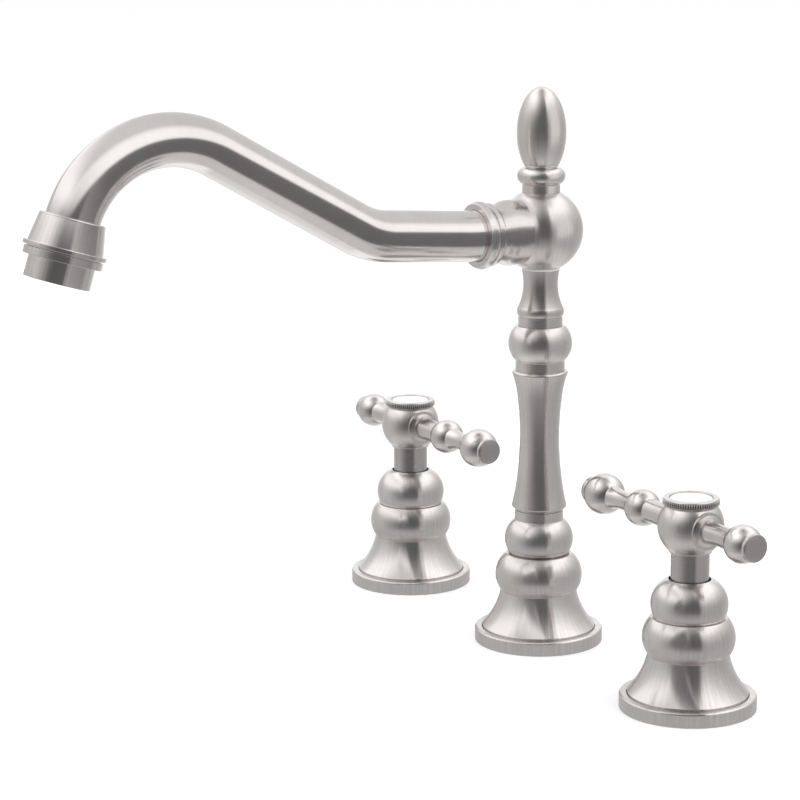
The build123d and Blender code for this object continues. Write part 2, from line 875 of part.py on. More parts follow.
aerator_end = aerator_seat + aerator_body_height
with BuildPart() as aerator_housing:
    with BuildSketch(outlet_view):
        with BuildLine():
            Polyline(
                (aerator_bore_radius, aerator_seat - aerator_thread_length),
                (aerator_thread_radius, aerator_seat - aerator_thread_length),
                (aerator_thread_radius, aerator_seat),
                (aerator_radius, aerator_seat),
                (aerator_radius, aerator_end),
                (aerator_bore_radius - aerator_lip_thickness, aerator_end),
                (aerator_bore_radius - aerator_lip_thickness, aerator_end - aerator_lip_thickness),
                (aerator_bore_radius, aerator_end - aerator_lip_thickness),
                close=True,
            )
        make_face()
    revolve(axis=outlet_axis)
    for flat_side in (-1, 1):
        with BuildSketch(outlet_view.rotated((0, 90, 0))):
            with Locations(
                (flat_side * (aerator_radius - aerator_flat_depth), aerator_end - aerator_flat_height)
            ):
                flat_align = Align.MIN if flat_side > 0 else Align.MAX
                Rectangle(
                    aerator_flat_depth + cut_overrun_length,
                    aerator_flat_height + cut_overrun_length,
                    align=(flat_align, Align.MIN),
                )
        extrude(amount=aerator_radius, both=True, mode=Mode.SUBTRACT)
save(aerator_housing, "aerator_housing")

insert_end = aerator_end - aerator_lip_thickness
insert_plane = Plane(origin=outlet_point + outlet_direction * insert_end, z_dir=outlet_direction)
with BuildPart() as aerator_insert:
    with BuildSketch(insert_plane):
        Circle(aerator_bore_radius - seat_gap)
        Circle(insert_hole_radius, mode=Mode.SUBTRACT)
        for ring_number in range(1, insert_hole_rings + 1):
            with PolarLocations(ring_number * insert_hole_spacing, 6 * ring_number):
                Circle(insert_hole_radius, mode=Mode.SUBTRACT)
    extrude(amount=-insert_height)
save(aerator_insert, "aerator_insert")

with BuildPart() as aerator_washer:
    with BuildSketch(Plane(origin=outlet_point, z_dir=outlet_direction)):
        Circle(aerator_thread_radius)
        Circle(tube_radius - tube_wall_thickness, mode=Mode.SUBTRACT)
    extrude(amount=aerator_seat - aerator_thread_length)
save(aerator_washer, "aerator_washer")

# Heights shared by both valves and their handles
hub_z = valve_bell_top_z + dome_height + collar_exposed_length
hub_centre_z = hub_z + hub_foot_height + sphere_reach(hub_radius, hub_foot_radius)
hub_top_z = hub_centre_z + sphere_reach(hub_radius, hub_top_radius)
screw_floor_z = hub_top_z - cap_stub_length - handle_screw_head_height - screw_pocket_gap
stem_top_z = screw_floor_z - handle_web_thickness
cartridge_z = shank_rise_height - cartridge_depth
seal_floor_z = cartridge_z - seat_seal_height
hex_top_z = shank_rise_height + cartridge_hex_height
neck_top_z = hex_top_z + cartridge_neck_height
moving_disc_z = cartridge_z + ceramic_thickness + running_gap
flange_z = moving_disc_z + ceramic_thickness
cavity_top_z = flange_z + stem_flange_height + running_gap
side_outlet_z = -side_outlet_depth
ceramic_radius = cartridge_radius - cartridge_wall_thickness - seat_gap
stem_bore_radius = stem_radius + running_gap
stem_flat_width = 2 * stem_radius + cut_overrun_length
collar_tenon_top_z = hub_z + collar_tenon_length
cap_ledge_z = hub_top_z + cap_ring_height - disc_sink_depth - disc_thickness
arm_seat = boss_reach_length - boss_recess_depth
arm_root = arm_seat - arm_socket_depth


# Valve body: threaded shank, inlet stub below, and the side outlet that faces the back
def valve_body(name, axis_x):
    with BuildPart() as body:
        with BuildSketch(upright(axis_x, -1)):
            with BuildLine():
                Polyline(
                    (0, inlet_z),
                    (inlet_radius, inlet_z),
                    (inlet_radius, shank_bottom_z),
                    (shank_radius, shank_bottom_z),
                    (shank_radius, shank_rise_height),
                    (0, shank_rise_height),
                    close=True,
                )
            make_face()
        revolve(axis=upright_axis(axis_x))
        outlet_plane = Plane(origin=(axis_x, 0, side_outlet_z), x_dir=(1, 0, 0), z_dir=(0, 1, 0))
        with BuildSketch(outlet_plane):
            Circle(side_outlet_radius)
        extrude(amount=side_outlet_length)
        with BuildSketch(outlet_plane):
            Circle(side_boss_radius)
        extrude(amount=side_boss_length)
        with BuildSketch(level(axis_x, inlet_z)):
            Circle(inlet_bore_radius)
        extrude(amount=shank_rise_height - inlet_z, mode=Mode.SUBTRACT)
        with BuildSketch(level(axis_x, seal_floor_z)):
            Circle(cartridge_thread_radius + seat_gap)
        extrude(amount=shank_rise_height - seal_floor_z, mode=Mode.SUBTRACT)
        with BuildSketch(level(axis_x, side_outlet_z)):
            with Locations((0, -side_channel_distance)):
                Circle(side_channel_radius)
        extrude(amount=seal_floor_z - side_outlet_z, mode=Mode.SUBTRACT)
        with BuildSketch(outlet_plane.offset(inlet_bore_radius + side_bore_wall_thickness)):
            Circle(side_outlet_bore_radius)
        extrude(amount=side_outlet_length, mode=Mode.SUBTRACT)
    save(body, name)


# Cartridge: body with its hexagon, bonnet neck and side windows
def cartridge_body(name, axis_x, side):
    with BuildPart() as body:
        with BuildSketch(level(axis_x, shank_rise_height)):
            RegularPolygon(cartridge_hex_width / 2, 6, major_radius=False)
        extrude(amount=cartridge_hex_height)
        with BuildSketch(upright(axis_x, side)):
            with BuildLine():
                Polyline(
                    (0, cartridge_z),
                    (cartridge_radius, cartridge_z),
                    (cartridge_radius, shank_rise_height - cartridge_thread_length),
                    (cartridge_thread_radius, shank_rise_height - cartridge_thread_length),
                    (cartridge_thread_radius, shank_rise_height),
                    (cartridge_neck_radius, shank_rise_height),
                    (cartridge_neck_radius, neck_top_z),
                    (0, neck_top_z),
                    close=True,
                )
            make_face()
        revolve(axis=upright_axis(axis_x))
        with BuildSketch(level(axis_x, cartridge_z)):
            Circle(cartridge_radius - cartridge_wall_thickness)
        extrude(amount=cavity_top_z - cartridge_z, mode=Mode.SUBTRACT)
        with BuildSketch(level(axis_x, cartridge_z)):
            Circle(stem_bore_radius)
        extrude(amount=neck_top_z - cartridge_z, mode=Mode.SUBTRACT)
        window_plane = Plane(
            origin=(axis_x, 0, moving_disc_z + ceramic_thickness / 2),
            x_dir=(0, side, 0),
            z_dir=(-side, 0, 0),
        )
        with BuildSketch(window_plane):
            Rectangle(window_width, window_height)
        extrude(amount=cartridge_radius, both=True, mode=Mode.SUBTRACT)
    save(body, name)


# Ceramic discs: ports along the inward axis below, cut-outs a quarter turn away above
def fixed_disc(name, axis_x, side):
    with BuildPart() as disc:
        with BuildSketch(level(axis_x, cartridge_z, side)):
            Circle(ceramic_radius)
            for turn in (0, 180):
                SlotArc(
                    CenterArc((0, 0), port_circle_radius, turn - port_angle / 2, port_angle),
                    port_width,
                    mode=Mode.SUBTRACT,
                )
        extrude(amount=ceramic_thickness)
    save(disc, name)


def moving_disc(name, axis_x, side):
    with BuildPart() as disc:
        with BuildSketch(level(axis_x, moving_disc_z, side)):
            Circle(stem_flange_radius)
            with Locations((0, cutout_offset)):
                Rectangle(
                    cutout_width,
                    stem_flange_radius,
                    align=(Align.CENTER, Align.MIN),
                    mode=Mode.SUBTRACT,
                )
            with Locations((0, -cutout_offset)):
                Rectangle(
                    cutout_width,
                    stem_flange_radius,
                    align=(Align.CENTER, Align.MAX),
                    mode=Mode.SUBTRACT,
                )
        extrude(amount=ceramic_thickness)
    save(disc, name)


def seat_seal(name, axis_x):
    with BuildPart() as seal:
        with BuildSketch(level(axis_x, seal_floor_z)):
            Circle(seat_seal_radius)
            Circle(inlet_bore_radius, mode=Mode.SUBTRACT)
        extrude(amount=seat_seal_height)
    save(seal, name)


# Dome on the bell's mouth, with a hollow round the bonnet neck and a hole for the collar
def dome(name, axis_x):
    belly_z = valve_bell_top_z + dome_belly_height
    dome_top_z = valve_bell_top_z + dome_height
    with BuildPart() as shell:
        with BuildSketch(upright(axis_x, -1)):
            with BuildLine():
                TangentArc(
                    (dome_radius, belly_z), (dome_foot_radius, valve_bell_top_z), tangent=(0, -1)
                )
                TangentArc((dome_radius, belly_z), (dome_hole_radius, dome_top_z), tangent=(0, 1))
                Polyline(
                    (dome_hole_radius, dome_top_z),
                    (dome_hole_radius, dome_top_z - dome_wall_thickness),
                    (mouth_ledge_radius, dome_top_z - dome_wall_thickness - dome_wall_thickness),
                )
                ThreePointArc(
                    (mouth_ledge_radius, dome_top_z - dome_wall_thickness - dome_wall_thickness),
                    (dome_radius - dome_wall_thickness, belly_z),
                    (mouth_ledge_radius, valve_bell_top_z),
                )
                Polyline(
                    (mouth_ledge_radius, valve_bell_top_z),
                    (mouth_ledge_radius, valve_bell_top_z - bell_mouth_depth),
                    (mouth_spigot_radius, valve_bell_top_z - bell_mouth_depth),
                    (mouth_spigot_radius, valve_bell_top_z),
                    (dome_foot_radius, valve_bell_top_z),
                )
            make_face()
        revolve(axis=upright_axis(axis_x))
    save(shell, name)


# Handle: collar, hub with two bosses, and the stem that the hub sits on
def collar(name, axis_x):
    with BuildPart() as ring:
        with BuildSketch(upright(axis_x, -1)):
            with BuildLine():
                Polyline(
                    (collar_bore_radius, hub_z - collar_exposed_length - collar_sink_depth),
                    (collar_radius, hub_z - collar_exposed_length - collar_sink_depth),
                    (collar_radius, hub_z),
                    (collar_tenon_radius, hub_z),
                    (collar_tenon_radius, collar_tenon_top_z),
                    (collar_bore_radius, collar_tenon_top_z),
                    close=True,
                )
            make_face()
        revolve(axis=upright_axis(axis_x))
    save(ring, name)


def hub(name, axis_x, side):
    with BuildPart() as body:
        with BuildSketch(Plane(origin=(axis_x, 0, 0), x_dir=(0, -1, 0), z_dir=(-1, 0, 0))):
            with BuildLine():
                Polyline(
                    (hub_top_radius, hub_top_z),
                    (0, hub_top_z),
                    (0, hub_z),
                    (hub_foot_radius, hub_z),
                    (hub_foot_radius, hub_z + hub_foot_height),
                )
                ThreePointArc(
                    (hub_foot_radius, hub_z + hub_foot_height),
                    (hub_radius, hub_centre_z),
                    (hub_top_radius, hub_top_z),
                )
            make_face()
        revolve(axis=upright_axis(axis_x))
        boss_plane = Plane(origin=(axis_x, 0, hub_centre_z), x_dir=(0, side, 0), z_dir=(-side, 0, 0))
        with BuildSketch(boss_plane):
            Circle(boss_radius)
        extrude(amount=boss_reach_length, both=True)
        for boss_side in (-1, 1):
            with BuildSketch(boss_plane.offset(boss_side * arm_seat)):
                Circle(boss_recess_radius)
            extrude(amount=boss_side * hub_radius, mode=Mode.SUBTRACT)
            with BuildSketch(boss_plane.offset(boss_side * arm_root)):
                Circle(arm_root_radius + seat_gap)
            extrude(amount=boss_side * hub_radius, mode=Mode.SUBTRACT)
        with BuildSketch(level(axis_x, hub_top_z)):
            Circle(cap_stub_radius + seat_gap)
        extrude(amount=-cap_stub_length - seat_gap, mode=Mode.SUBTRACT)
        with BuildSketch(level(axis_x, screw_floor_z)):
            Circle(handle_screw_head_radius + screw_pocket_gap)
        extrude(amount=hub_top_z - screw_floor_z, mode=Mode.SUBTRACT)
        with BuildSketch(level(axis_x, hub_z)):
            Circle(collar_tenon_radius + seat_gap)
        extrude(amount=collar_tenon_length, mode=Mode.SUBTRACT)
        with BuildSketch(level(axis_x, hub_z, side)):
            Circle(stem_radius + seat_gap)
            Rectangle(
                stem_flat_width,
                2 * (stem_radius - stem_flat_depth + seat_gap),
                mode=Mode.INTERSECT,
            )
        extrude(amount=stem_top_z - hub_z, mode=Mode.SUBTRACT)
        with BuildSketch(level(axis_x, hub_z)):
            Circle(handle_screw_radius + seat_gap)
        extrude(amount=hub_top_z - hub_z, mode=Mode.SUBTRACT)
    save(body, name)


def stem(name, axis_x, side):
    with BuildPart() as spindle:
        with BuildSketch(level(axis_x, flange_z)):
            Circle(stem_flange_radius)
        extrude(amount=stem_flange_height)
        with BuildSketch(level(axis_x, flange_z)):
            Circle(stem_radius)
        extrude(amount=collar_tenon_top_z - flange_z)
        with BuildSketch(level(axis_x, collar_tenon_top_z, side)):
            Circle(stem_radius)
            Rectangle(
                stem_flat_width, 2 * (stem_radius - stem_flat_depth), mode=Mode.INTERSECT
            )
        extrude(amount=stem_top_z - collar_tenon_top_z)
        with BuildSketch(level(axis_x, stem_top_z)):
            Circle(handle_screw_radius + seat_gap)
        extrude(amount=handle_web_thickness - handle_screw_length - seat_gap, mode=Mode.SUBTRACT)
    save(spindle, name)


def handle_screw(name, axis_x):
    with BuildPart() as screw:
        with BuildSketch(level(axis_x, screw_floor_z)):
            Circle(handle_screw_head_radius)
        extrude(amount=handle_screw_head_height)
        with BuildSketch(level(axis_x, screw_floor_z)):
            Circle(handle_screw_radius)
        extrude(amount=-handle_screw_length)
        with BuildSketch(level(axis_x, screw_floor_z + handle_screw_head_height)):
            RegularPolygon(handle_screw_key_radius, 6)
        extrude(amount=-handle_screw_key_depth, mode=Mode.SUBTRACT)
    save(screw, name)


# Knurled cap ring and the index disc set in it
def cap_ring(name, axis_x):
    ring_top_z = hub_top_z + cap_ring_height
    with BuildPart() as ring:
        with BuildSketch(level(axis_x, hub_top_z)):
            Circle(cap_ring_radius)
            with PolarLocations(cap_ring_radius, knurl_count):
                RegularPolygon(knurl_depth, 4, mode=Mode.SUBTRACT)
        extrude(amount=cap_ring_height)
        with BuildSketch(upright(axis_x, -1)):
            with BuildLine():
                Polyline(
                    (cap_stub_bore_radius, hub_top_z - cap_stub_length),
                    (cap_stub_radius, hub_top_z - cap_stub_length),
                    (cap_stub_radius, hub_top_z),
                    (cap_ring_radius - cap_ring_chamfer_width, hub_top_z),
                    (cap_ring_radius, hub_top_z + cap_ring_chamfer_width),
                    (cap_ring_radius, ring_top_z - cap_ring_chamfer_width),
                    (cap_ring_radius - cap_ring_chamfer_width, ring_top_z),
                    (cap_ring_bore_radius, ring_top_z),
                    (cap_ring_bore_radius, cap_ledge_z),
                    (cap_stub_bore_radius, cap_ledge_z),
                    close=True,
                )
            make_face()
        revolve(axis=upright_axis(axis_x), mode=Mode.INTERSECT)
        with BuildSketch(level(axis_x, hub_top_z)):
            Circle(cap_stub_radius)
            Circle(cap_stub_bore_radius, mode=Mode.SUBTRACT)
        extrude(amount=-cap_stub_length)
    save(ring, name)


def index_disc(name, axis_x):
    with BuildPart() as disc:
        with BuildSketch(level(axis_x, cap_ledge_z)):
            Circle(cap_ring_bore_radius - seat_gap)
        extrude(amount=disc_thickness)
    save(disc, name)


# Handle arm: waisted shaft with a lip at each ball, and a domed button on the last ball
def handle_arm(name, axis_x, side, balls):
    shaft_start = arm_seat
    shaft_radius = arm_root_radius
    with BuildPart() as arm:
        with BuildSketch(upright(axis_x, side).shift_origin((axis_x, 0, hub_centre_z))):
            with BuildLine():
                Polyline((arm_root, 0), (arm_root, arm_root_radius), (arm_seat, arm_root_radius))
                for ball_distance, arm_ball_radius, waist_radius in balls:
                    crease_reach = sphere_reach(arm_ball_radius, arm_lip_radius)
                    ball_start = ball_distance - crease_reach
                    ball_end = ball_distance + crease_reach
                    ThreePointArc(
                        (shaft_start, shaft_radius),
                        ((shaft_start + ball_start) / 2, waist_radius),
                        (ball_start, arm_lip_radius),
                    )
                    ThreePointArc(
                        (ball_start, arm_lip_radius),
                        (ball_distance, arm_ball_radius),
                        (ball_end, arm_lip_radius),
                    )
                    shaft_start = ball_end
                    shaft_radius = arm_lip_radius
                Polyline(
                    (shaft_start, shaft_radius),
                    (shaft_start, button_radius),
                    (shaft_start + button_rim_height, button_radius),
                )
                TangentArc(
                    (shaft_start + button_height, 0),
                    (shaft_start + button_rim_height, button_radius),
                    tangent=(0, 1),
                )
                Line((shaft_start + button_height, 0), (arm_root, 0))
            make_face()
        revolve(axis=Axis((axis_x, 0, hub_centre_z), (1, 0, 0)))
    save(arm, name)


long_arm_balls = [
    (inner_ball_distance, inner_ball_radius, long_root_waist_radius),
    (outer_ball_distance, outer_ball_radius, long_tip_waist_radius),
]
short_arm_balls = [(short_ball_distance, short_ball_radius, short_waist_radius)]

# The two valves are the same pieces, turned half a turn so that both long arms point inwards
for valve_name, valve_side in (("hot", -1), ("cold", 1)):
    valve_x = valve_side * half_spacing
    base_ring(f"{valve_name}_base_ring", valve_x)
    bell(f"{valve_name}_bell", valve_x, valve_bell_top_z, valve_bulb_top_radius)
    dome(f"{valve_name}_dome", valve_x)
    valve_body(f"{valve_name}_valve_body", valve_x)
    cartridge_body(f"{valve_name}_cartridge_body", valve_x, valve_side)
    fixed_disc(f"{valve_name}_fixed_disc", valve_x, valve_side)
    moving_disc(f"{valve_name}_moving_disc", valve_x, valve_side)
    seat_seal(f"{valve_name}_seat_seal", valve_x)
    stem(f"{valve_name}_stem", valve_x, valve_side)
    collar(f"{valve_name}_collar", valve_x)
    hub(f"{valve_name}_hub", valve_x, valve_side)
    handle_screw(f"{valve_name}_handle_screw", valve_x)
    cap_ring(f"{valve_name}_cap_ring", valve_x)
    index_disc(f"{valve_name}_index_disc", valve_x)
    handle_arm(f"{valve_name}_long_arm", valve_x, valve_side, long_arm_balls)
    handle_arm(f"{valve_name}_short_arm", valve_x, -valve_side, short_arm_balls)
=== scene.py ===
import math

import bpy
from mathutils import Matrix, Vector


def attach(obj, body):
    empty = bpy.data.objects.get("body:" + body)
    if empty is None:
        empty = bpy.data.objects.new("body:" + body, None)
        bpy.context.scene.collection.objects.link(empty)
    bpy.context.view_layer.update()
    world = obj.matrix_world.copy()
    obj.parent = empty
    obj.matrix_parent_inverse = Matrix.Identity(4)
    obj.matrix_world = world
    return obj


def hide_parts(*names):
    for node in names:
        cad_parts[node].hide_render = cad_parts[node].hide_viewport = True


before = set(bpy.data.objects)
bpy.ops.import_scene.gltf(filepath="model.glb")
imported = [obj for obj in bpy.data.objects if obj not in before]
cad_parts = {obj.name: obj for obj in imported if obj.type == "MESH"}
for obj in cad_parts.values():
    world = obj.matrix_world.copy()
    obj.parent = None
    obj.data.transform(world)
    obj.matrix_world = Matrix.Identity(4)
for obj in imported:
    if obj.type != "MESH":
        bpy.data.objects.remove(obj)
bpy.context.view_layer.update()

# Camera, a little above the spout's height on the cold valve's side. It looks over that
# valve towards the column, so that the spout runs across the view to the left.
turn, lift, roll = math.radians(59.713), math.radians(12.038), math.radians(0.2686)
back = Vector((math.sin(turn) * math.cos(lift), -math.cos(turn) * math.cos(lift), math.sin(lift)))
right = Vector((math.cos(turn), math.sin(turn), 0))
view = Matrix((right, back.cross(right), back)).transposed().to_4x4()
view = Matrix.Translation((0.87072, -0.57302, 0.32091)) @ view @ Matrix.Rotation(-roll, 4, "Z")
camera_data = bpy.data.cameras.new("camera")
camera_data.sensor_width = 36
camera_data.lens = 2672.35 * camera_data.sensor_width / 800
camera = bpy.data.objects.new("camera", camera_data)
camera.matrix_world = view
bpy.context.scene.collection.objects.link(camera)
bpy.context.scene.camera = camera
bpy.context.scene.view_settings.view_transform = "Standard"


# Studio: a white tent over a pale floor. The tent's front is open towards the camera, and
# that dark opening is what the turned metal shows as a grey core down its middle.
class Wire:
    """One output of a shader node. Sums and products of wires add Math nodes."""

    def __init__(self, tree, socket):
        self.tree = tree
        self.socket = socket

    def math(self, operation, *values, clamp=False):
        return node(self.tree, "ShaderNodeMath", *values, operation=operation, use_clamp=clamp)

    def __add__(self, other):
        return self.math("ADD", self, other)

    def __sub__(self, other):
        return self.math("SUBTRACT", self, other)

    def __rsub__(self, other):
        return self.math("SUBTRACT", other, self)

    def __mul__(self, other):
        return self.math("MULTIPLY", self, other)

    def __truediv__(self, other):
        return self.math("DIVIDE", self, other)

    def ramp(self, low, high):
        """0 below low, 1 above high, and a soft step between them."""
        return node(
            self.tree, "ShaderNodeMapRange", self, low, high, 0.0, 1.0,
            interpolation_type="SMOOTHSTEP",
        )

    __radd__ = __add__
    __rmul__ = __mul__


def node(tree, kind, *values, out=0, **settings):
    """Adds a node, sets it, fills its sockets in order (or by name) and gives one output."""
    made = tree.nodes.new(kind)
    named = settings.pop("sockets", {})
    for key, value in settings.items():
        setattr(made, key, value)
    pairs = list(zip(range(len(values)), values)) + list(named.items())
    for key, value in pairs:
        if isinstance(value, Wire):
            tree.links.new(value.socket, made.inputs[key])
        elif value is not None:
            made.inputs[key].default_value = value
    return Wire(tree, made.outputs[out]) if made.outputs else made


def blank_tree(owner):
    owner.use_nodes = True
    owner.node_tree.nodes.clear()
    return owner.node_tree


def studio(tree, ray):
    """Brightness of the studio by the direction of a ray, from the floor's side to the roof."""
    axes = [node(tree, "ShaderNodeSeparateXYZ", ray, out=i) for i in range(3)]
    across = axes[0] * right.x + axes[1] * right.y
    towards = axes[0] * back.x + axes[1] * back.y
    bearing = across.math("ARCTAN2", across, towards)
    height = axes[2].math("ARCSINE", axes[2])
    aside = bearing.math("ABSOLUTE", bearing)
    behind = aside.ramp(2.2, 3.0)
    beside = bearing.ramp(0.2, 0.8) * (1 - bearing.ramp(1.6, 2.6))
    walls = 0.60 - 0.12 * beside + 0.28 * (1 - height.ramp(-0.95, -0.5)) + 0.26 * height.ramp(0.05, 0.4)
    walls = walls + height.ramp(0.35, 0.8) * (0.76 - behind * 0.4) - 0.95 * height.ramp(1.0, 1.4)
    walls = walls + aside.ramp(2.5, 2.95) * (1 - height.ramp(0.2, 0.5)) * 0.4
    front = 0.13 + 0.42 * height.ramp(0.5, 1.25)
    front = front + 0.18 * (1 - height.ramp(-0.42, -0.2)) + 0.46 * (1 - height.ramp(-0.95, -0.5))
    edge = bearing - 0.42 * height.ramp(0.1, 0.65)
    share = edge.ramp(-1.7, -0.3) * (1 - bearing.ramp(0.41, 0.62))
    return walls * (1 - share) + front * share


world = bpy.data.worlds.new("white_tent")
bpy.context.scene.world = world
tent = blank_tree(world)
glow = studio(tent, node(tent, "ShaderNodeTexCoord", out="Generated"))
seen, mirrored = (
    node(tent, "ShaderNodeLightPath", out=f"Is {kind} Ray") for kind in ("Camera", "Glossy")
)
strength = glow * mirrored + 0.8 * (1 - mirrored)
node(
    tent,
    "ShaderNodeOutputWorld",
    node(tent, "ShaderNodeBackground", (1, 1, 1, 1), strength * (1 - seen) + seen),
)


def lamp(name, place, target, width, height, power, colour=(1, 1, 1)):
    """A softbox aimed at a target. The metal doesn't mirror it."""
    data = bpy.data.lights.new(name, "AREA")
    data.shape = "RECTANGLE"
    data.size, data.size_y = width, height
    data.energy = power
    data.color = colour
    thing = bpy.data.objects.new(name, data)
    thing.matrix_world = Matrix.Translation(place) @ (
        (Vector(place) - Vector(target)).to_track_quat("Z", "Y").to_matrix().to_4x4()
    )
    thing.visible_glossy = False
    bpy.context.scene.collection.objects.link(thing)


middle = Vector((0, -0.05, 0.1))
lamp("left_softbox", middle + Vector((-0.9, -1.3, 1.2)), middle, 1.6, 1.6, 12)
lamp("right_softbox", middle + Vector((1.25, 0.9, 1.3)), middle, 1.6, 1.6, 12)

floor_mesh = bpy.data.meshes.new("floor")
floor_half = 6.0
floor_mesh.from_pydata(
    [(-floor_half, -floor_half, 0), (floor_half, -floor_half, 0),
     (floor_half, floor_half, 0), (-floor_half, floor_half, 0)],
    [],
    [(0, 1, 2, 3)],
)
floor = bpy.data.objects.new("floor", floor_mesh)
bpy.context.scene.collection.objects.link(floor)
floor_paint = bpy.data.materials.new("white_floor")
tree = blank_tree(floor_paint)
seen = node(tree, "ShaderNodeLightPath", out="Is Camera Ray")
mirrored = node(tree, "ShaderNodeLightPath", out="Is Glossy Ray")
table = node(
    tree, "ShaderNodeAddShader",
    node(tree, "ShaderNodeBsdfDiffuse", (0.9, 0.9, 0.9, 1)),
    node(tree, "ShaderNodeEmission", (1, 1, 1, 1), seen * 0.26),
)
ray = node(
    tree, "ShaderNodeVectorMath", node(tree, "ShaderNodeNewGeometry", out="Incoming"), (-1, -1, -1),
    operation="MULTIPLY",
)
far = node(tree, "ShaderNodeLightPath", out="Ray Length").ramp(0.04, 0.11)
mirror_image = node(
    tree, "ShaderNodeEmission", (1, 1, 1, 1), studio(tree, ray) * far + 0.55 * (1 - far)
)
node(
    tree, "ShaderNodeOutputMaterial",
    node(tree, "ShaderNodeMixShader", mirrored, table, mirror_image),
)
floor_mesh.materials.append(floor_paint)


# Three cards, seen only in mirrored rays that start in one part of the scene. A tall card,
# dark below and white above, and a roof serve what lies in front of the column: the tube, its
# coupling and the outlet. A side card serves what lies above it: the ball and the finial.
def card(name, corners, glow, share):
    """A staged card with its glow over its face, and the share of rays that it stops."""
    mesh = bpy.data.meshes.new(name)
    mesh.from_pydata(corners, [], [(0, 1, 2, 3)])
    thing = bpy.data.objects.new(name, mesh)
    bpy.context.scene.collection.objects.link(thing)
    thing.visible_camera = thing.visible_diffuse = thing.visible_shadow = False
    paper = bpy.data.materials.new(name)
    tree = blank_tree(paper)
    length = node(tree, "ShaderNodeLightPath", out="Ray Length")
    spot, incoming = (
        [
            node(tree, "ShaderNodeSeparateXYZ", node(tree, "ShaderNodeNewGeometry", out=source), out=i)
            for i in range(3)
        ]
        for source in ("Position", "Incoming")
    )
    start = [spot[i] + incoming[i] * length for i in range(3)]
    node(
        tree, "ShaderNodeOutputMaterial",
        node(
            tree, "ShaderNodeMixShader", share(spot, start),
            node(tree, "ShaderNodeBsdfTransparent", (1, 1, 1, 1)),
            node(tree, "ShaderNodeEmission", (1, 1, 1, 1), glow(spot)),
        ),
    )
    mesh.materials.append(paper)


card(
    "flag", [(0.19, 0.9, 0), (0.19, -0.7, 0), (0.19, -0.7, 1.2), (0.19, 0.9, 1.2)],
    lambda spot: 0.18 + 1.15 * spot[2].ramp(0.235, 0.265) - 0.53 * spot[2].ramp(0.36, 0.72),
    lambda spot, start: (
        (1 - start[1].ramp(-0.011, -0.009)) * start[1].ramp(-0.212, -0.186)
        * (1 - spot[2].ramp(0.9, 1.1))
    ),
)
card(
    "roof", [(-2, -2, 0.8), (2, -2, 0.8), (2, 2, 0.8), (-2, 2, 0.8)],
    lambda spot: 1.35 - 0.55 * (spot[0] * right.x + spot[1] * right.y).ramp(-0.9, -0.3),
    lambda spot, start: (
        (1 - start[1].ramp(-0.011, -0.009)) * spot[1].ramp(-1.9, -1.1)
        * start[2].math("MAXIMUM", start[2].ramp(0.178, 0.205), start[1].ramp(-0.17, -0.14))
    ),
)
card(
    "side_card", [(0.6, 2.2, 0), (0.6, 0.03, 0), (0.6, 0.03, 1), (0.6, 2.2, 1)],
    lambda spot: 0.88 - 0.2 * spot[1].ramp(0.5, 1.5),
    lambda spot, start: (
        start[1].ramp(-0.008, -0.003) * start[2].ramp(0.150, 0.156) * (1 - spot[1].ramp(1.2, 2.2))
        * spot[1].ramp(0.04, 0.2) * (1 - spot[2].ramp(0.5, 1.0))
    ),
)


# Fixings under the deck: for each shank a rubber gasket and washer, a stainless washer and
# a brass nut. They are moulded, stamped and cut from hexagon bar, and bought in.
def finish_for(name, **fixed):
    """A new material with its Principled shader, and the tree it is wired in."""
    material = bpy.data.materials.new(name)
    tree = blank_tree(material)
    shader = tree.nodes.new("ShaderNodeBsdfPrincipled")
    for key, value in fixed.items():
        shader.inputs[key.replace("_", " ").title().replace("Ior", "IOR")].default_value = value
    output = tree.nodes.new("ShaderNodeOutputMaterial")
    tree.links.new(shader.outputs[0], output.inputs[0])
    return material, tree, shader


def wire(tree, source, shader, name):
    tree.links.new(source.socket, shader.inputs[name])


def place(tree):
    return node(tree, "ShaderNodeTexCoord", out="Object")


def grain(tree, where, stretch, detail=3.0, out="Fac"):
    """Noise on stretched coordinates: stretch is how many grains a metre holds each way."""
    scaled = node(tree, "ShaderNodeMapping", where, sockets={"Scale": stretch})
    return node(
        tree, "ShaderNodeTexNoise", out=out,
        sockets={"Vector": scaled, "Scale": 1.0, "Detail": detail, "Roughness": 0.6},
    )


def blend(tree, share, low, high):
    """A colour between two, by a share from 0 to 1."""
    made = tree.nodes.new("ShaderNodeMix")
    made.data_type = "RGBA"
    tree.links.new(share.socket, made.inputs[0])
    made.inputs[6].default_value = (*low, 1)
    made.inputs[7].default_value = (*high, 1)
    return Wire(tree, made.outputs[2])


def bump(tree, relief, depth, shader, strength=1.0):
    raised = node(
        tree, "ShaderNodeBump",
        sockets={"Strength": strength, "Distance": depth, "Height": relief},
    )
    wire(tree, raised, shader, "Normal")


def rough_finish(name, low, high, roughness, spread, grain_size, depth, **fixed):
    """A finish with cloudy colour and a fine even grain, for moulded and cast pieces."""
    material, tree, shader = finish_for(name, **fixed)
    cloud = grain(tree, place(tree), (90, 90, 90), 4)
    fine = grain(tree, place(tree), (1 / grain_size,) * 3, 2)
    wire(tree, blend(tree, cloud, low, high), shader, "Base Color")
    wire(tree, roughness + (fine - 0.5) * spread, shader, "Roughness")
    bump(tree, fine, depth, shader)
    return material


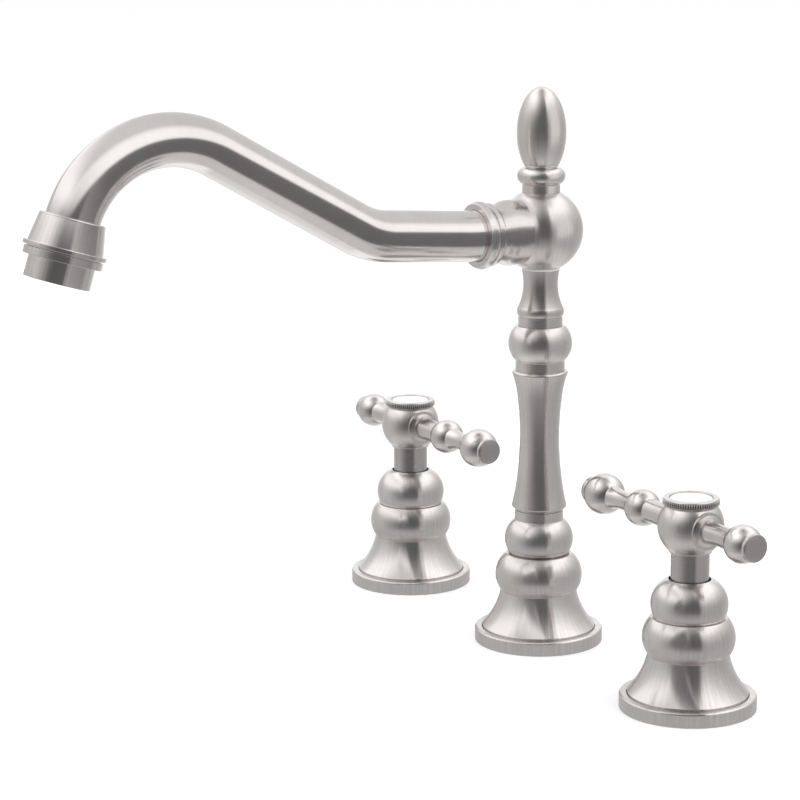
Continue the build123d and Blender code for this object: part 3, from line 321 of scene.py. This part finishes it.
rubber = rough_finish(
    "black_rubber", (0.012, 0.012, 0.012), (0.030, 0.029, 0.028), 0.62, 0.3, 0.0004, 0.00004
)
yellow_brass = rough_finish(
    "turned_brass", (0.62, 0.43, 0.19), (0.72, 0.53, 0.27), 0.28, 0.25, 0.0006, 0.00001, metallic=1.0
)
stainless = rough_finish(
    "stamped_stainless", (0.52, 0.51, 0.50), (0.62, 0.61, 0.60), 0.30, 0.3, 0.0005, 0.00001,
    metallic=1.0,
)
acetal = rough_finish(
    "moulded_acetal", (0.72, 0.71, 0.67), (0.80, 0.79, 0.76), 0.42, 0.15, 0.0008, 0.00001
)
alumina = rough_finish(
    "lapped_alumina", (0.80, 0.78, 0.74), (0.88, 0.87, 0.84), 0.16, 0.08, 0.0003, 0.000002
)


def paint(material, *names):
    """Gives CAD nodes their finish."""
    for name in names:
        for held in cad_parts[name].material_slots:
            held.material = material


paint(rubber, "deck_gaskets", "rubber_washers")
paint(stainless, "steel_washers")
paint(yellow_brass, "mounting_nuts")

# Shanks and waterways: the column's shank with its riser tube, and the two valve bodies with
# their side outlets. They are turned from brass, and the deck hides all but the riser's top.
paint(yellow_brass, "spout_shank", "riser_tube", "hot_valve_body", "cold_valve_body")
paint(rubber, "swivel_o_rings", "aerator_washer")
paint(acetal, "swivel_bush", "aerator_insert")
paint(stainless, "set_screw", "finial_stud")


# Foot rings: a flat brass ring under each post, with a raised rim and a bevelled pocket in
# which the bell stands. It is turned, brushed round and plated in satin nickel.
class Outline:
    """Section of a turned piece in millimetres: distance from its axis, height along it.

    It is drawn up the outer wall and down the bore. Each corner gets a small round edge.
    """

    def __init__(self, radius, height):
        self.runs = []
        self.first = self.last = Vector((radius, height))

    def add(self, points, headings):
        self.runs.append(list(zip(points, headings)))
        self.last = points[-1]
        return self

    def line(self, *ends):
        for end in ends:
            start, end = self.last, Vector(end)
            heading = (end - start).normalized()
            self.add([start, end], [heading, heading])
        return self

    def sweep(self, centre, end, clockwise):
        """Arc about a centre from the last point to the end."""
        start = self.last
        radius = (start - centre).length
        begin = math.atan2(start.y - centre.y, start.x - centre.x)
        turn = math.atan2(end.y - centre.y, end.x - centre.x) - begin
        turn = -((-turn) % math.tau) if clockwise else turn % math.tau
        steps = max(5, math.ceil(abs(turn) / math.radians(4)))
        angles = [begin + turn * i / steps for i in range(steps + 1)]
        side = -1 if clockwise else 1
        return self.add(
            [centre + radius * Vector((math.cos(a), math.sin(a))) for a in angles],
            [Vector((-math.sin(a), math.cos(a))) * side for a in angles],
        )

    def bow(self, middle, end):
        """Arc through a middle point."""
        a, b, c = self.last, Vector(middle), Vector(end)
        ab, ac = b - a, c - a
        double = 2 * ab.cross(ac)
        centre = a + Vector((
            ac.y * ab.length_squared - ab.y * ac.length_squared,
            ab.x * ac.length_squared - ac.x * ab.length_squared,
        )) / double
        return self.sweep(centre, c, double < 0)

    def swell(self, end, leaving=None, arriving=None):
        """Arc that leaves or arrives in a given direction."""
        end = Vector(end)
        held, far = (self.last, end) if leaving else (end, self.last)
        heading = Vector(leaving or arriving).normalized()
        side = Vector((-heading.y, heading.x))
        gap = far - held
        reach = gap.length_squared / (2 * gap.dot(side))
        return self.sweep(held + side * reach, end, reach < 0)

    def close(self):
        return self.line(self.first)

    def points(self, edge):
        """Points and headings all the way round, with a round edge at each corner."""
        result = []
        for before, run in zip([self.runs[-1]] + self.runs[:-1], self.runs):
            after = self.runs[(self.runs.index(run) + 1) % len(self.runs)]
            trimmed = list(run)
            for end, other in ((0, before[-1][1]), (-1, after[0][1])):
                corner, heading = run[end]
                if corner.x < 0.001 or heading.angle(other) < math.radians(4):
                    continue
                room = 0.4 * sum((q[0] - p[0]).length for p, q in zip(run, run[1:]))
                cut = min(edge, room)
                kept = [p for p in trimmed if (p[0] - corner).length > cut]
                turned_in = (corner + heading * (cut if end == 0 else -cut), heading)
                trimmed = [turned_in] + kept if end == 0 else kept + [turned_in]
            result.append((trimmed, run[-1][0]))
        joined = []
        for (run, corner), (following, _) in zip(result, result[1:] + result[:1]):
            joined += run
            start, end = run[-1][0], following[0][0]
            if (end - start).length < 1e-6 and corner.x > 0.001:
                joined.pop()
                continue
            if (end - start).length < 1e-6:
                continue
            for share in (0.25, 0.5, 0.75):
                point = (
                    start * (1 - share) ** 2 + corner * 2 * share * (1 - share) + end * share**2
                )
                heading = ((corner - start) * (1 - share) + (end - corner) * share).normalized()
                joined.append((point, heading))
        return joined


def section_mesh(name, outline, origin=(0, 0, 0), along=(0, 0, 1), edge=0.18, flat=None):
    """Turns an outline about an axis. Its UV map holds the turn, and the length of outline.

    flat is a pair of key flats: the way they face, their distance, and the height they start at.
    """
    around = 128
    points = outline.points(edge)
    area = sum(p[0].cross(q[0]) for p, q in zip(points, points[1:] + points[:1]))
    sign = 1 if area > 0 else -1
    along = Vector(along).normalized()
    out = along.orthogonal().normalized() if abs(along.z) < 0.9 else Vector((1, 0, 0))
    side = along.cross(out)
    vertices, normals, rings, lengths = [], [], [], []
    length = 0.0
    for index, (point, heading) in enumerate(points):
        length += (point - points[index - 1][0]).length if index else 0
        lengths.append(length / 1000)
        normal = Vector((heading.y, -heading.x)) * sign
        count = 1 if point.x < 1e-4 else around
        rings.append((len(vertices), count))
        for i in range(count):
            angle = math.tau * i / around
            spoke = out * math.cos(angle) + side * math.sin(angle)
            arm = spoke * point.x
            facing = spoke * normal.x + along * normal.y
            if flat and point.y > flat[2] and abs(arm.dot(flat[0])) > flat[1] and normal.x > 0.5:
                facing = flat[0] * math.copysign(1, arm.dot(flat[0]))
            if flat and point.y > flat[2] and abs(arm.dot(flat[0])) > flat[1]:
                arm -= flat[0] * (arm.dot(flat[0]) - math.copysign(flat[1], arm.dot(flat[0])))
            vertices.append((Vector(origin) + arm + along * point.y) / 1000)
            tip = along if normal.y > 0 else -along
            normals.append(facing if count > 1 else tip)
    faces, turns = [], []
    for index, (first, count) in enumerate(rings):
        other, other_count = rings[(index + 1) % len(rings)]
        low, high = lengths[index], lengths[index] + (
            points[(index + 1) % len(points)][0] - points[index][0]
        ).length / 1000
        if count == 1 and other_count == 1:
            continue
        for i in range(around):
            j = (i + 1) % around
            corners = [
                (first + (i if count > 1 else 0), i, low),
                (first + (j if count > 1 else 0), i + 1, low),
                (other + (j if other_count > 1 else 0), i + 1, high),
                (other + (i if other_count > 1 else 0), i, high),
            ]
            if count == 1:
                corners.pop(1)
            elif other_count == 1:
                corners.pop(2)
            corners = corners if sign > 0 else corners[::-1]
            faces.append([c[0] for c in corners])
            turns += [(c[1] / around, c[2]) for c in corners]
    mesh = bpy.data.meshes.new(name)
    mesh.from_pydata(vertices, [], faces)
    mesh.polygons.foreach_set("use_smooth", [True] * len(faces))
    layer = mesh.uv_layers.new(name="turning")
    for loop, turn in zip(layer.data, turns):
        loop.uv = turn
    mesh.normals_split_custom_set_from_vertices(normals)
    return mesh


nickel_low, nickel_high = (0.60, 0.566, 0.553), (0.79, 0.756, 0.745)


def brushed_nickel(name, slow, tint=1.0, roughness=0.17, spin=0.0):
    """Satin nickel: hair-fine lines round the turning, and faint streaks across them, as relief in the
    bump and as painted streaks of reflection in the colour.

    slow is how many lines a metre holds along each axis; across them they are 0.12 mm apart.
    """
    material, tree, shader = finish_for(name, metallic=1.0, anisotropic=spin, anisotropic_rotation=0.25)
    spot = place(tree)
    turn, length = (
        node(tree, "ShaderNodeSeparateXYZ", node(tree, "ShaderNodeUVMap", uv_map="turning"), out=i)
        for i in range(2)
    )
    parts = [node(tree, "ShaderNodeSeparateXYZ", spot, out=i) * slow[i] for i in range(3)]
    sides = [part for part, held in zip(parts, slow) if held]

    def noise(*where):
        return node(
            tree, "ShaderNodeTexNoise", out="Fac",
            sockets={
                "Vector": node(tree, "ShaderNodeCombineXYZ", *where),
                "Scale": 1.0, "Detail": 2.0, "Roughness": 0.5,
            },
        )

    fine, broad = noise(*sides, length / 0.00012), noise(*sides, length / 0.0009)
    angle = turn * math.tau
    sheen_streak = noise(angle.math("COSINE", angle) * 22, angle.math("SINE", angle) * 22, length * 30)
    cloud = grain(tree, spot, (45, 45, 45), 3)
    # The streak noise in the colour is painted streaks of reflection; the fine lines, broad lines and
    # cloud are the plate's own tone.
    shade = (fine - 0.5) * 0.3 + (broad - 0.5) * 0.15 + (sheen_streak - 0.5) * 0.8 + cloud
    low = tuple(c * tint for c in nickel_low)
    high = tuple(c * tint for c in nickel_high)
    wire(tree, blend(tree, shade.math("ADD", shade, 0.0, clamp=True), low, high), shader, "Base Color")
    wire(tree, roughness + (fine - 0.5) * 0.08 + (cloud - 0.5) * 0.04, shader, "Roughness")
    bump(tree, fine * 0.2 + broad * 0.25 + sheen_streak * 2.6, 0.00001, shader, 0.8)
    return material


nickel = brushed_nickel("satin_nickel", (70, 70, 0), roughness=0.25, spin=0.75)
nickel_dark = brushed_nickel("satin_nickel_band", (70, 70, 0), 0.8, 0.27, 0.75)


def piece(name, mesh, material, body, *stands_for):
    """Adds a finished piece that rides a body, and may be shown for CAD nodes."""
    mesh.materials.append(material)
    thing = bpy.data.objects.new(name, mesh)
    bpy.context.scene.collection.objects.link(thing)
    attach(thing, body)
    if stands_for:
        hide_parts(*stands_for)
    return thing


half_spacing = 101.6
posts = (("spout", 0.0), ("hot", -half_spacing), ("cold", half_spacing))
for post, x in posts:
    ring = Outline(25.7, 0).line((25.7, 4.7)).sweep(Vector((24.8, 4.7)), Vector((24.8, 5.6)), False)
    ring.line((22.9, 5.6), (22.8, 4.3), (22.8, 2.9), (13.5, 2.9), (13.5, 1.5), (21.6, 1.5), (21.6, 0))
    ring.close()
    mesh = section_mesh("ring", ring, (x, 0, 0))
    piece(f"{post}_foot_ring", mesh, nickel, "deck_set", f"{post}_base_ring")

# Bells: each post's flared skirt with the lower bulb turned on its top, from one brass bar.
# It screws down on the shank and stands in the ring's pocket, brushed round and plated.
for post, x in posts:
    top, top_radius = (36.1, 13.1) if post == "spout" else (35.1, 14.3)
    bell = Outline(22.7, 2.9).line((22.7, 6.2)).bow((17.8, 13.4), (15.3, 20.9))
    bell.swell((17.45, 27.3), arriving=(0, 1)).swell((top_radius, top), leaving=(0, 1))
    bell.line((12.4, top), (11.9, top - 0.5), (11.9, top - 2.6), (13.3, top - 4.6))
    bell.line((13.3, 8.0), (18.7, 6.1), (20.7, 2.9))
    bell.close()
    mesh = section_mesh("bell", bell, (x, 0, 0))
    piece(f"{post}_skirt", mesh, nickel, "deck_set", f"{post}_bell")

# Column: bulb, band, waisted sleeve, band, bulb, band and neck, stacked on the bell and
# clamped by the riser tube inside. All are turned brass, brushed round and plated.
bulb = Outline(11.8, 33.5).line((11.8, 36.1)).swell((13.75, 42.2), arriving=(0, 1))
bulb.swell((9.75, 50.1), leaving=(0, 1)).line((9.75, 54.0), (5.65, 54.0), (5.65, 33.5)).close()
piece("lower_bulb", section_mesh("bulb", bulb), nickel, "deck_set", "column_lower_bulb")

waist = Outline(9.0, 84.0 - 17.2).bow((7.85, 84.0), (9.0, 84.0 + 17.2)).runs[0]
low_heading, high_heading = -waist[0][1], waist[-1][1]
sleeve = Outline(9.2, 54.0).line((9.2, 54.9), (9.9, 54.9))
sleeve.sweep(Vector((9.9, 56.0)), Vector((11.0, 56.0)), False)
sleeve.swell((9.0, 66.8), arriving=-low_heading).bow((7.85, 84.0), (9.0, 101.2))
sleeve.swell((11.15, 110.0), leaving=high_heading)
sleeve.sweep(Vector((10.05, 110.0)), Vector((10.05, 111.1)), False)
sleeve.line((5.65, 111.1), (5.65, 54.0)).close()
piece("sleeve", section_mesh("sleeve", sleeve), nickel, "deck_set", "column_sleeve")

bulb = Outline(5.65, 111.1).line((9.85, 111.1), (9.85, 115.1)).swell((12.75, 121.9), arriving=(0, 1))
bulb.swell((9.7, 129.1), leaving=(0, 1)).line((5.65, 129.1)).close()
piece("middle_bulb", section_mesh("bulb", bulb), nickel, "deck_set", "column_mid_bulb")

neck = Outline(5.65, 129.1).line((8.85, 129.1), (8.85, 132.6), (8.45, 132.6), (8.45, 133.0))
neck.line((8.9, 133.0)).bow((9.4, 134.8), (8.9, 136.6)).swell((6.9, 145.7), arriving=(0, 1))
neck.swell((7.6, 151.5), leaving=(0, 1)).line((5.65, 151.5)).close()
piece("neck", section_mesh("neck", neck), nickel, "deck_set", "column_neck")

# Ball: it turns on the column with the spout, on the bush over the neck. It is turned from
# brass with a flat bored face for the spout's coupling, and brushed round its upright axis.
ball_height, ball_radius, base_radius = 167.07, 16.7, 7.5
finial_foot = ball_height + math.sqrt(ball_radius**2 - base_radius**2)
ball = Outline(6.25, 152.25).line((7.7, 152.25))
ball.bow((ball_radius, ball_height), (base_radius, finial_foot))
ball.line((0, finial_foot), (0, 162.7), (6.25, 162.7)).close()
piece("ball", section_mesh("ball", ball), nickel, "spout_arm", "ball_body")

# Finial: a neck and bead screwed in the ball's top, and an egg held on them by a stud.
# Both are turned brass, and a fine dark seam shows where the egg stands on the bead.
base = Outline(base_radius, finial_foot).line((base_radius, 185.29))
base.bow((9.55, 188.49), (base_radius, 191.69))
base.line((6.2, 191.69), (6.2, 192.19), (0, 192.19), (0, finial_foot)).close()
piece("finial_bead", section_mesh("finial", base), nickel, "spout_arm", "finial_base")

egg_radius, egg_half, egg_foot, egg_foot_radius = 9.75, 17.9, 192.19, 6.6
egg_centre = egg_foot + egg_half * math.sqrt(1 - (egg_foot_radius / egg_radius) ** 2)
begin = -math.acos(egg_foot_radius / egg_radius)
turns = [begin + (math.pi / 2 - begin) * i / 48 for i in range(49)]
egg = Outline(egg_foot_radius, egg_foot)
egg.add(
    [Vector((egg_radius * math.cos(t), egg_centre + egg_half * math.sin(t))) for t in turns],
    [Vector((-egg_radius * math.sin(t), egg_half * math.cos(t))).normalized() for t in turns],
)
egg.line((0, egg_foot), (egg_foot_radius, egg_foot))
piece("finial_drop", section_mesh("egg", egg), nickel, "spout_arm", "finial_egg")

# Coupling: the turned brass piece between the ball and the spout, with a swollen body, a
# bead and a ring round the tube's socket. It is brushed round the spout's own axis.
nickel_spout = brushed_nickel("satin_nickel_spout", (70, 0, 70), roughness=0.25)
coupling = Outline(12.6, 10.6).swell((12.9, 15.0), arriving=(0, 1))
coupling.swell((12.1, 19.0), leaving=(0, 1)).swell((11.3, 23.0), arriving=(0, 1))
coupling.bow((12.4, 24.6), (11.3, 26.2)).line((12.3, 26.2)).bow((13.25, 28.3), (12.3, 30.4))
coupling.line((10.1, 30.4), (10.1, 19.5), (5.4, 19.5), (5.4, 10.6)).close()
piece(
    "coupling",
    section_mesh("coupling", coupling, (0, 0, ball_height), (0, -1, 0)),
    nickel_spout,
    "spout_arm",
    "spout_coupling",
)

# Spout: a drawn brass tube, bent up out of the coupling and over in a hook, then brushed
# round and plated. Its path is drawn once, and the tube is swept along it.
tube_radius = 10.0
outlet_pitch = 72.7
heading = 0.0


def straight(length):
    """Runs the tube's path on in its heading, in millimetres."""
    step = Vector((math.cos(heading), math.sin(heading))) * length
    for i in range(1, 5):
        path.append(path[-1] + step / 4)


def bend(radius, to):
    """Bends the path to a new heading in degrees above the level."""
    global heading
    turn = math.radians(to) - heading
    steps = math.ceil(abs(turn) / math.radians(1.5))
    for _ in range(steps):
        chord = 2 * radius * math.sin(abs(turn) / steps / 2)
        heading += turn / steps / 2
        path.append(path[-1] + Vector((math.cos(heading), math.sin(heading))) * chord)
        heading += turn / steps / 2


path = [Vector((19.5, 0))]
straight(9.5)
bend(120.0, 4.8)
straight(31.6)
bend(33.0, 29.7)
straight(66.2)
bend(39.7, -outlet_pitch)
straight(6.0)
route = bpy.data.curves.new("route", "CURVE")
route.dimensions = "3D"
spline = route.splines.new("POLY")
spline.points.add(len(path) - 1)
for knot, point in zip(spline.points, path):
    knot.co = (0, -point.x / 1000, (ball_height + point.y) / 1000, 1)
tube = bpy.data.objects.new("tube_route", route)
bpy.context.scene.collection.objects.link(tube)

sweep = bpy.data.node_groups.new("tube_sweep", "GeometryNodeTree")
sweep.interface.new_socket("Geometry", in_out="INPUT", socket_type="NodeSocketGeometry")
sweep.interface.new_socket("Radius", in_out="INPUT", socket_type="NodeSocketFloat")
sweep.interface.new_socket("Finish", in_out="INPUT", socket_type="NodeSocketMaterial")
sweep.interface.new_socket("Geometry", in_out="OUTPUT", socket_type="NodeSocketGeometry")
entry = node(sweep, "NodeGroupInput")
radius_in, finish_in = (Wire(sweep, entry.socket.node.outputs[n]) for n in ("Radius", "Finish"))
marked = node(
    sweep, "GeometryNodeStoreNamedAttribute", entry,
    sockets={"Name": "run", "Value": node(sweep, "GeometryNodeSplineParameter", out="Length")},
    data_type="FLOAT", domain="POINT",
)
ring = node(sweep, "GeometryNodeCurvePrimitiveCircle", 128, sockets={"Radius": radius_in})
skin = node(
    sweep, "GeometryNodeCurveToMesh",
    sockets={"Curve": marked, "Profile Curve": ring, "Fill Caps": True},
)
smooth = node(sweep, "GeometryNodeSetShadeSmooth", skin)
dressed = node(sweep, "GeometryNodeSetMaterial", smooth, sockets={"Material": finish_in})
node(sweep, "NodeGroupOutput", dressed)


def brushed_tube(name):
    """The same brushed plate, with its lines round the tube, by the length run along it."""
    material, tree, shader = finish_for(name, metallic=1.0)
    spot = place(tree)
    run = node(tree, "ShaderNodeAttribute", attribute_name="run", out="Fac")
    axes = [node(tree, "ShaderNodeSeparateXYZ", spot, out=i) for i in range(3)]

    def lines(width):
        where = node(tree, "ShaderNodeCombineXYZ", axes[0] * 70, axes[2] * 70, run / width)
        return node(
            tree, "ShaderNodeTexNoise", out="Fac",
            sockets={"Vector": where, "Scale": 1.0, "Detail": 2.0, "Roughness": 0.5},
        )

    fine, broad = lines(0.00012), lines(0.0012)
    cloud = grain(tree, spot, (30, 30, 30), 3)
    shade = (fine - 0.5) * 0.3 + (broad - 0.5) * 0.15 + cloud
    wire(tree, blend(tree, shade, nickel_low, nickel_high), shader, "Base Color")
    wire(tree, 0.17 + (fine - 0.5) * 0.08 + (cloud - 0.5) * 0.04, shader, "Roughness")
    bump(tree, fine * 0.2 + broad * 0.2, 0.00001, shader, 0.8)
    return material


nickel_tube = brushed_tube("satin_nickel_tube")
modifier = tube.modifiers.new("sweep", "NODES")
modifier.node_group = sweep
names = {item.name: item.identifier for item in sweep.interface.items_tree if item.in_out == "INPUT"}
modifier[names["Radius"]] = tube_radius / 1000
modifier[names["Finish"]] = nickel_tube
swept = bpy.data.meshes.new_from_object(tube.evaluated_get(bpy.context.evaluated_depsgraph_get()))
bpy.data.objects.remove(tube)
swept.materials.clear()
piece("spout", swept, nickel_tube, "spout_arm", "spout_tube")

# Outlet: a turned shroud slipped over the tube's end and soldered, and the aerator screwed
# in it, with two flats for a key. Lengths run down the outlet from the tube's end.
pitch = math.radians(outlet_pitch)
down = Vector((0, -math.cos(pitch), -math.sin(pitch)))
mouth = Vector((0, -path[-1].x, ball_height + path[-1].y))
nickel_outlet = brushed_nickel("satin_nickel_outlet", (70, 0, 70))
shroud = Outline(10.1, -8.5).line((10.1, 0), (11.0, 0), (11.0, 5.9), (12.6, 5.9), (12.6, 7.4))
shroud.line((14.5, 7.4), (14.5, 4.6), (13.7, 4.6), (13.7, 4.1))
shroud.line((15.3, 4.1), (15.3, 2.6), (13.9, 2.6), (12.1, -7.8))
shroud.sweep(Vector((11.4, -7.8)), Vector((11.4, -8.5)), True).close()
piece(
    "shroud",
    section_mesh("shroud", shroud, mouth, down),
    nickel_outlet,
    "spout_arm",
    "outlet_shroud",
)
housing = Outline(9.9, 1.3).line((9.9, 14.4), (9.0, 14.4), (9.0, 15.3), (12.2, 15.3))
housing.line((12.2, 13.11), (12.2, 13.09), (12.2, 5.9), (10.9, 5.9), (10.9, 1.3)).close()
piece(
    "aerator",
    section_mesh("aerator", housing, mouth, down, flat=(down.cross(Vector((1, 0, 0))), 11.5, 13.1)),
    nickel_outlet,
    "spout_arm",
    "aerator_housing",
)

# Valve domes and collars: the upper bulb of each valve is a hollow turned cap on the bell,
# and the plain collar that turns in its hole carries the handle. The collar is greyer.
for valve, x in posts[1:]:
    cap = Outline(11.8, 32.5).line((11.8, 35.1), (13.3, 35.1)).swell((14.5, 40.2), arriving=(0, 1))
    cap.swell((7.9, 49.7), leaving=(0, 1)).line((7.9, 47.7), (9.9, 45.7))
    cap.bow((12.5, 40.2), (9.9, 35.1)).line((9.9, 32.5)).close()
    mesh = section_mesh("dome", cap, (x, 0, 0))
    piece(f"{valve}_upper_bulb", mesh, nickel, "deck_set", f"{valve}_dome")
    sleeve = Outline(7.2, 44.2).line((7.2, 60.1), (6.5, 60.1), (6.5, 62.9), (5.9, 62.9))
    sleeve.line((5.9, 44.2)).close()
    mesh = section_mesh("collar", sleeve, (x, 0, 0))
    piece(f"{valve}_sleeve", mesh, nickel_dark, f"{valve}_handle", f"{valve}_collar")

# Handles: a round hub with a recessed boss each side, a long arm with two balls towards the
# column and a short one with one ball, each ending in a domed button. All are turned brass,
# and the buttons' faces are greyer.
nickel_arm = brushed_nickel("satin_nickel_arm", (0, 70, 70), roughness=0.2)
nickel_face = brushed_nickel("satin_nickel_face", (0, 70, 70), 0.7, 0.24)
hub_height, arm_radius, button_radius = 69.99, 4.5, 5.2
for valve, x in posts[1:]:
    side = 1 if x > 0 else -1
    hub = Outline(6.6, 60.1).line((8.1, 60.1), (8.1, 60.6)).bow((12.4, hub_height), (9.4, 78.08))
    hub.line((0, 78.08), (0, 63.0), (6.6, 63.0)).close()
    mesh = section_mesh("hub", hub, (x, 0, 0))
    piece(f"{valve}_hub_ball", mesh, nickel, f"{valve}_handle", f"{valve}_hub")
    for way in (-1, 1):
        boss = Outline(7.1, 4.0).line((7.1, 10.9), (5.9, 10.9), (5.9, 9.6), (0, 9.6), (0, 4.0)).close()
        mesh = section_mesh("boss", boss, (x, 0, hub_height), (way, 0, 0))
        end = "inner" if way == -side else "outer"
        piece(f"{valve}_boss_{end}", mesh, nickel_arm, f"{valve}_handle")
    for arm, way, balls in (
        ("long_arm", -side, ((30.5, 7.1, 4.5), (55.8, 8.0, 3.55))),
        ("short_arm", side, ((31.4, 7.2, 3.95),)),
    ):
        shape = Outline(4.9, 5.6).line((4.9, 9.6))
        for distance, radius, waist in balls:
            reach = math.sqrt(radius**2 - arm_radius**2)
            middle_of_neck = (shape.last.y + distance - reach) / 2
            shape.bow((waist, middle_of_neck), (arm_radius, distance - reach))
            shape.bow((radius, distance), (arm_radius, distance + reach))
        tip = shape.last.y
        shape.line((button_radius, tip), (button_radius, tip + 1.2), (0, tip + 1.2), (0, 5.6))
        mesh = section_mesh(arm, shape.close(), (x, 0, hub_height), (way, 0, 0))
        piece(f"{valve}_{arm}_bar", mesh, nickel_arm, f"{valve}_handle", f"{valve}_{arm}")
        face = Outline(button_radius, tip + 1.2).line((button_radius, tip + 1.8))
        face.swell((0, tip + 2.6), arriving=(-1, 0)).line((0, tip + 1.2)).close()
        mesh = section_mesh(arm, face, (x, 0, hub_height), (way, 0, 0), 0.35)
        piece(f"{valve}_{arm}_button", mesh, nickel_face, f"{valve}_handle")

# Index caps: a knurled ring screwed in the hub's top, holding a plain disc of white glazed
# porcelain. The knurls are straight ribs pressed in the ring's rim. The screws, stems and
# ceramic cartridges hidden below the caps get their finishes here too.
for valve in ("hot", "cold"):
    paint(stainless, f"{valve}_handle_screw", f"{valve}_stem")
    paint(yellow_brass, f"{valve}_cartridge_body")
    paint(alumina, f"{valve}_fixed_disc", f"{valve}_moving_disc")
    paint(rubber, f"{valve}_seat_seal")
porcelain = rough_finish(
    "white_porcelain", (0.88, 0.88, 0.87), (0.93, 0.93, 0.93), 0.12, 0.05, 0.0009, 0.000004,
    coat_weight=0.6, coat_roughness=0.05,
)
# A near-black finish for the band behind the knurl's ribs: painted shade in the gaps between them.
groove_painted_shade = rough_finish(
    "knurl_groove_shade", (0.020, 0.019, 0.018), (0.045, 0.042, 0.040), 0.5, 0.2, 0.0005, 0.00001
)
knurl = bpy.data.node_groups.new("knurl", "GeometryNodeTree")
for name, kind in (
    ("Count", "Int"), ("Radius", "Float"), ("Rib Radius", "Float"), ("Rib Height", "Float"),
    ("Finish", "Material"),
):
    knurl.interface.new_socket(name, in_out="INPUT", socket_type=f"NodeSocket{kind}")
knurl.interface.new_socket("Geometry", in_out="OUTPUT", socket_type="NodeSocketGeometry")
node(knurl, "NodeGroupInput")
count_in, radius_in, rib_radius_in, rib_height_in, finish_in = (
    Wire(knurl, socket) for socket in list(knurl.nodes[-1].outputs)[:5]
)
circle = node(knurl, "GeometryNodeMeshCircle", count_in, radius_in)
rib = node(
    knurl, "GeometryNodeMeshCylinder", 12,
    sockets={"Radius": rib_radius_in, "Depth": rib_height_in},
)
spread = node(knurl, "GeometryNodeInstanceOnPoints", circle, sockets={"Instance": rib})
real = node(knurl, "GeometryNodeRealizeInstances", spread)
soft = node(knurl, "GeometryNodeSetShadeSmooth", real)
dressed = node(knurl, "GeometryNodeSetMaterial", soft, sockets={"Material": finish_in})
node(knurl, "NodeGroupOutput", dressed)
knurl_sizes = {
    "Count": 72, "Radius": 0.01037, "Rib Radius": 0.00023, "Rib Height": 0.0018, "Finish": nickel,
}
rib_middle = 0.07935
for valve, x in posts[1:]:
    ring = Outline(5.0, 76.28).line((6.3, 76.28), (6.3, 78.08), (10.3, 78.08), (10.5, 78.38))
    ring.line((10.0, 78.38), (10.0, 80.28), (10.5, 80.28), (10.3, 80.68), (8.1, 80.68))
    ring.line((8.1, 79.43), (5.0, 79.43)).close()
    mesh = section_mesh("cap", ring, (x, 0, 0))
    piece(f"{valve}_cap", mesh, nickel, f"{valve}_handle", f"{valve}_cap_ring")
    ribs = bpy.data.objects.new("ribs", bpy.data.meshes.new("ribs"))
    bpy.context.scene.collection.objects.link(ribs)
    modifier = ribs.modifiers.new("knurl", "NODES")
    modifier.node_group = knurl
    for item in knurl.interface.items_tree:
        if item.in_out == "INPUT" and item.name in knurl_sizes:
            modifier[item.identifier] = knurl_sizes[item.name]
    pressed = bpy.data.meshes.new_from_object(
        ribs.evaluated_get(bpy.context.evaluated_depsgraph_get())
    )
    bpy.data.objects.remove(ribs)
    pressed.transform(Matrix.Translation((x / 1000, 0, rib_middle)))
    pressed.materials.clear()
    piece(f"{valve}_knurl", pressed, nickel, f"{valve}_handle")
    # The band under the ribs carries the painted shade of the knurl's gaps.
    groove_shade_band = Outline(9.5, 78.45).line((10.12, 78.45), (10.12, 80.22), (9.5, 80.22)).close()
    mesh = section_mesh("groove_shade_band", groove_shade_band, (x, 0, 0), edge=0.02)
    piece(f"{valve}_knurl_groove_shade", mesh, groove_painted_shade, f"{valve}_handle")
    disc = Outline(0, 79.43).line((8.0, 79.43), (8.0, 80.2)).bow((7.8, 80.4), (7.5, 80.43))
    mesh = section_mesh("index", disc.line((0, 80.43)).close(), (x, 0, 0))
    made = piece(f"{valve}_index", mesh, porcelain, f"{valve}_handle", f"{valve}_index_disc")
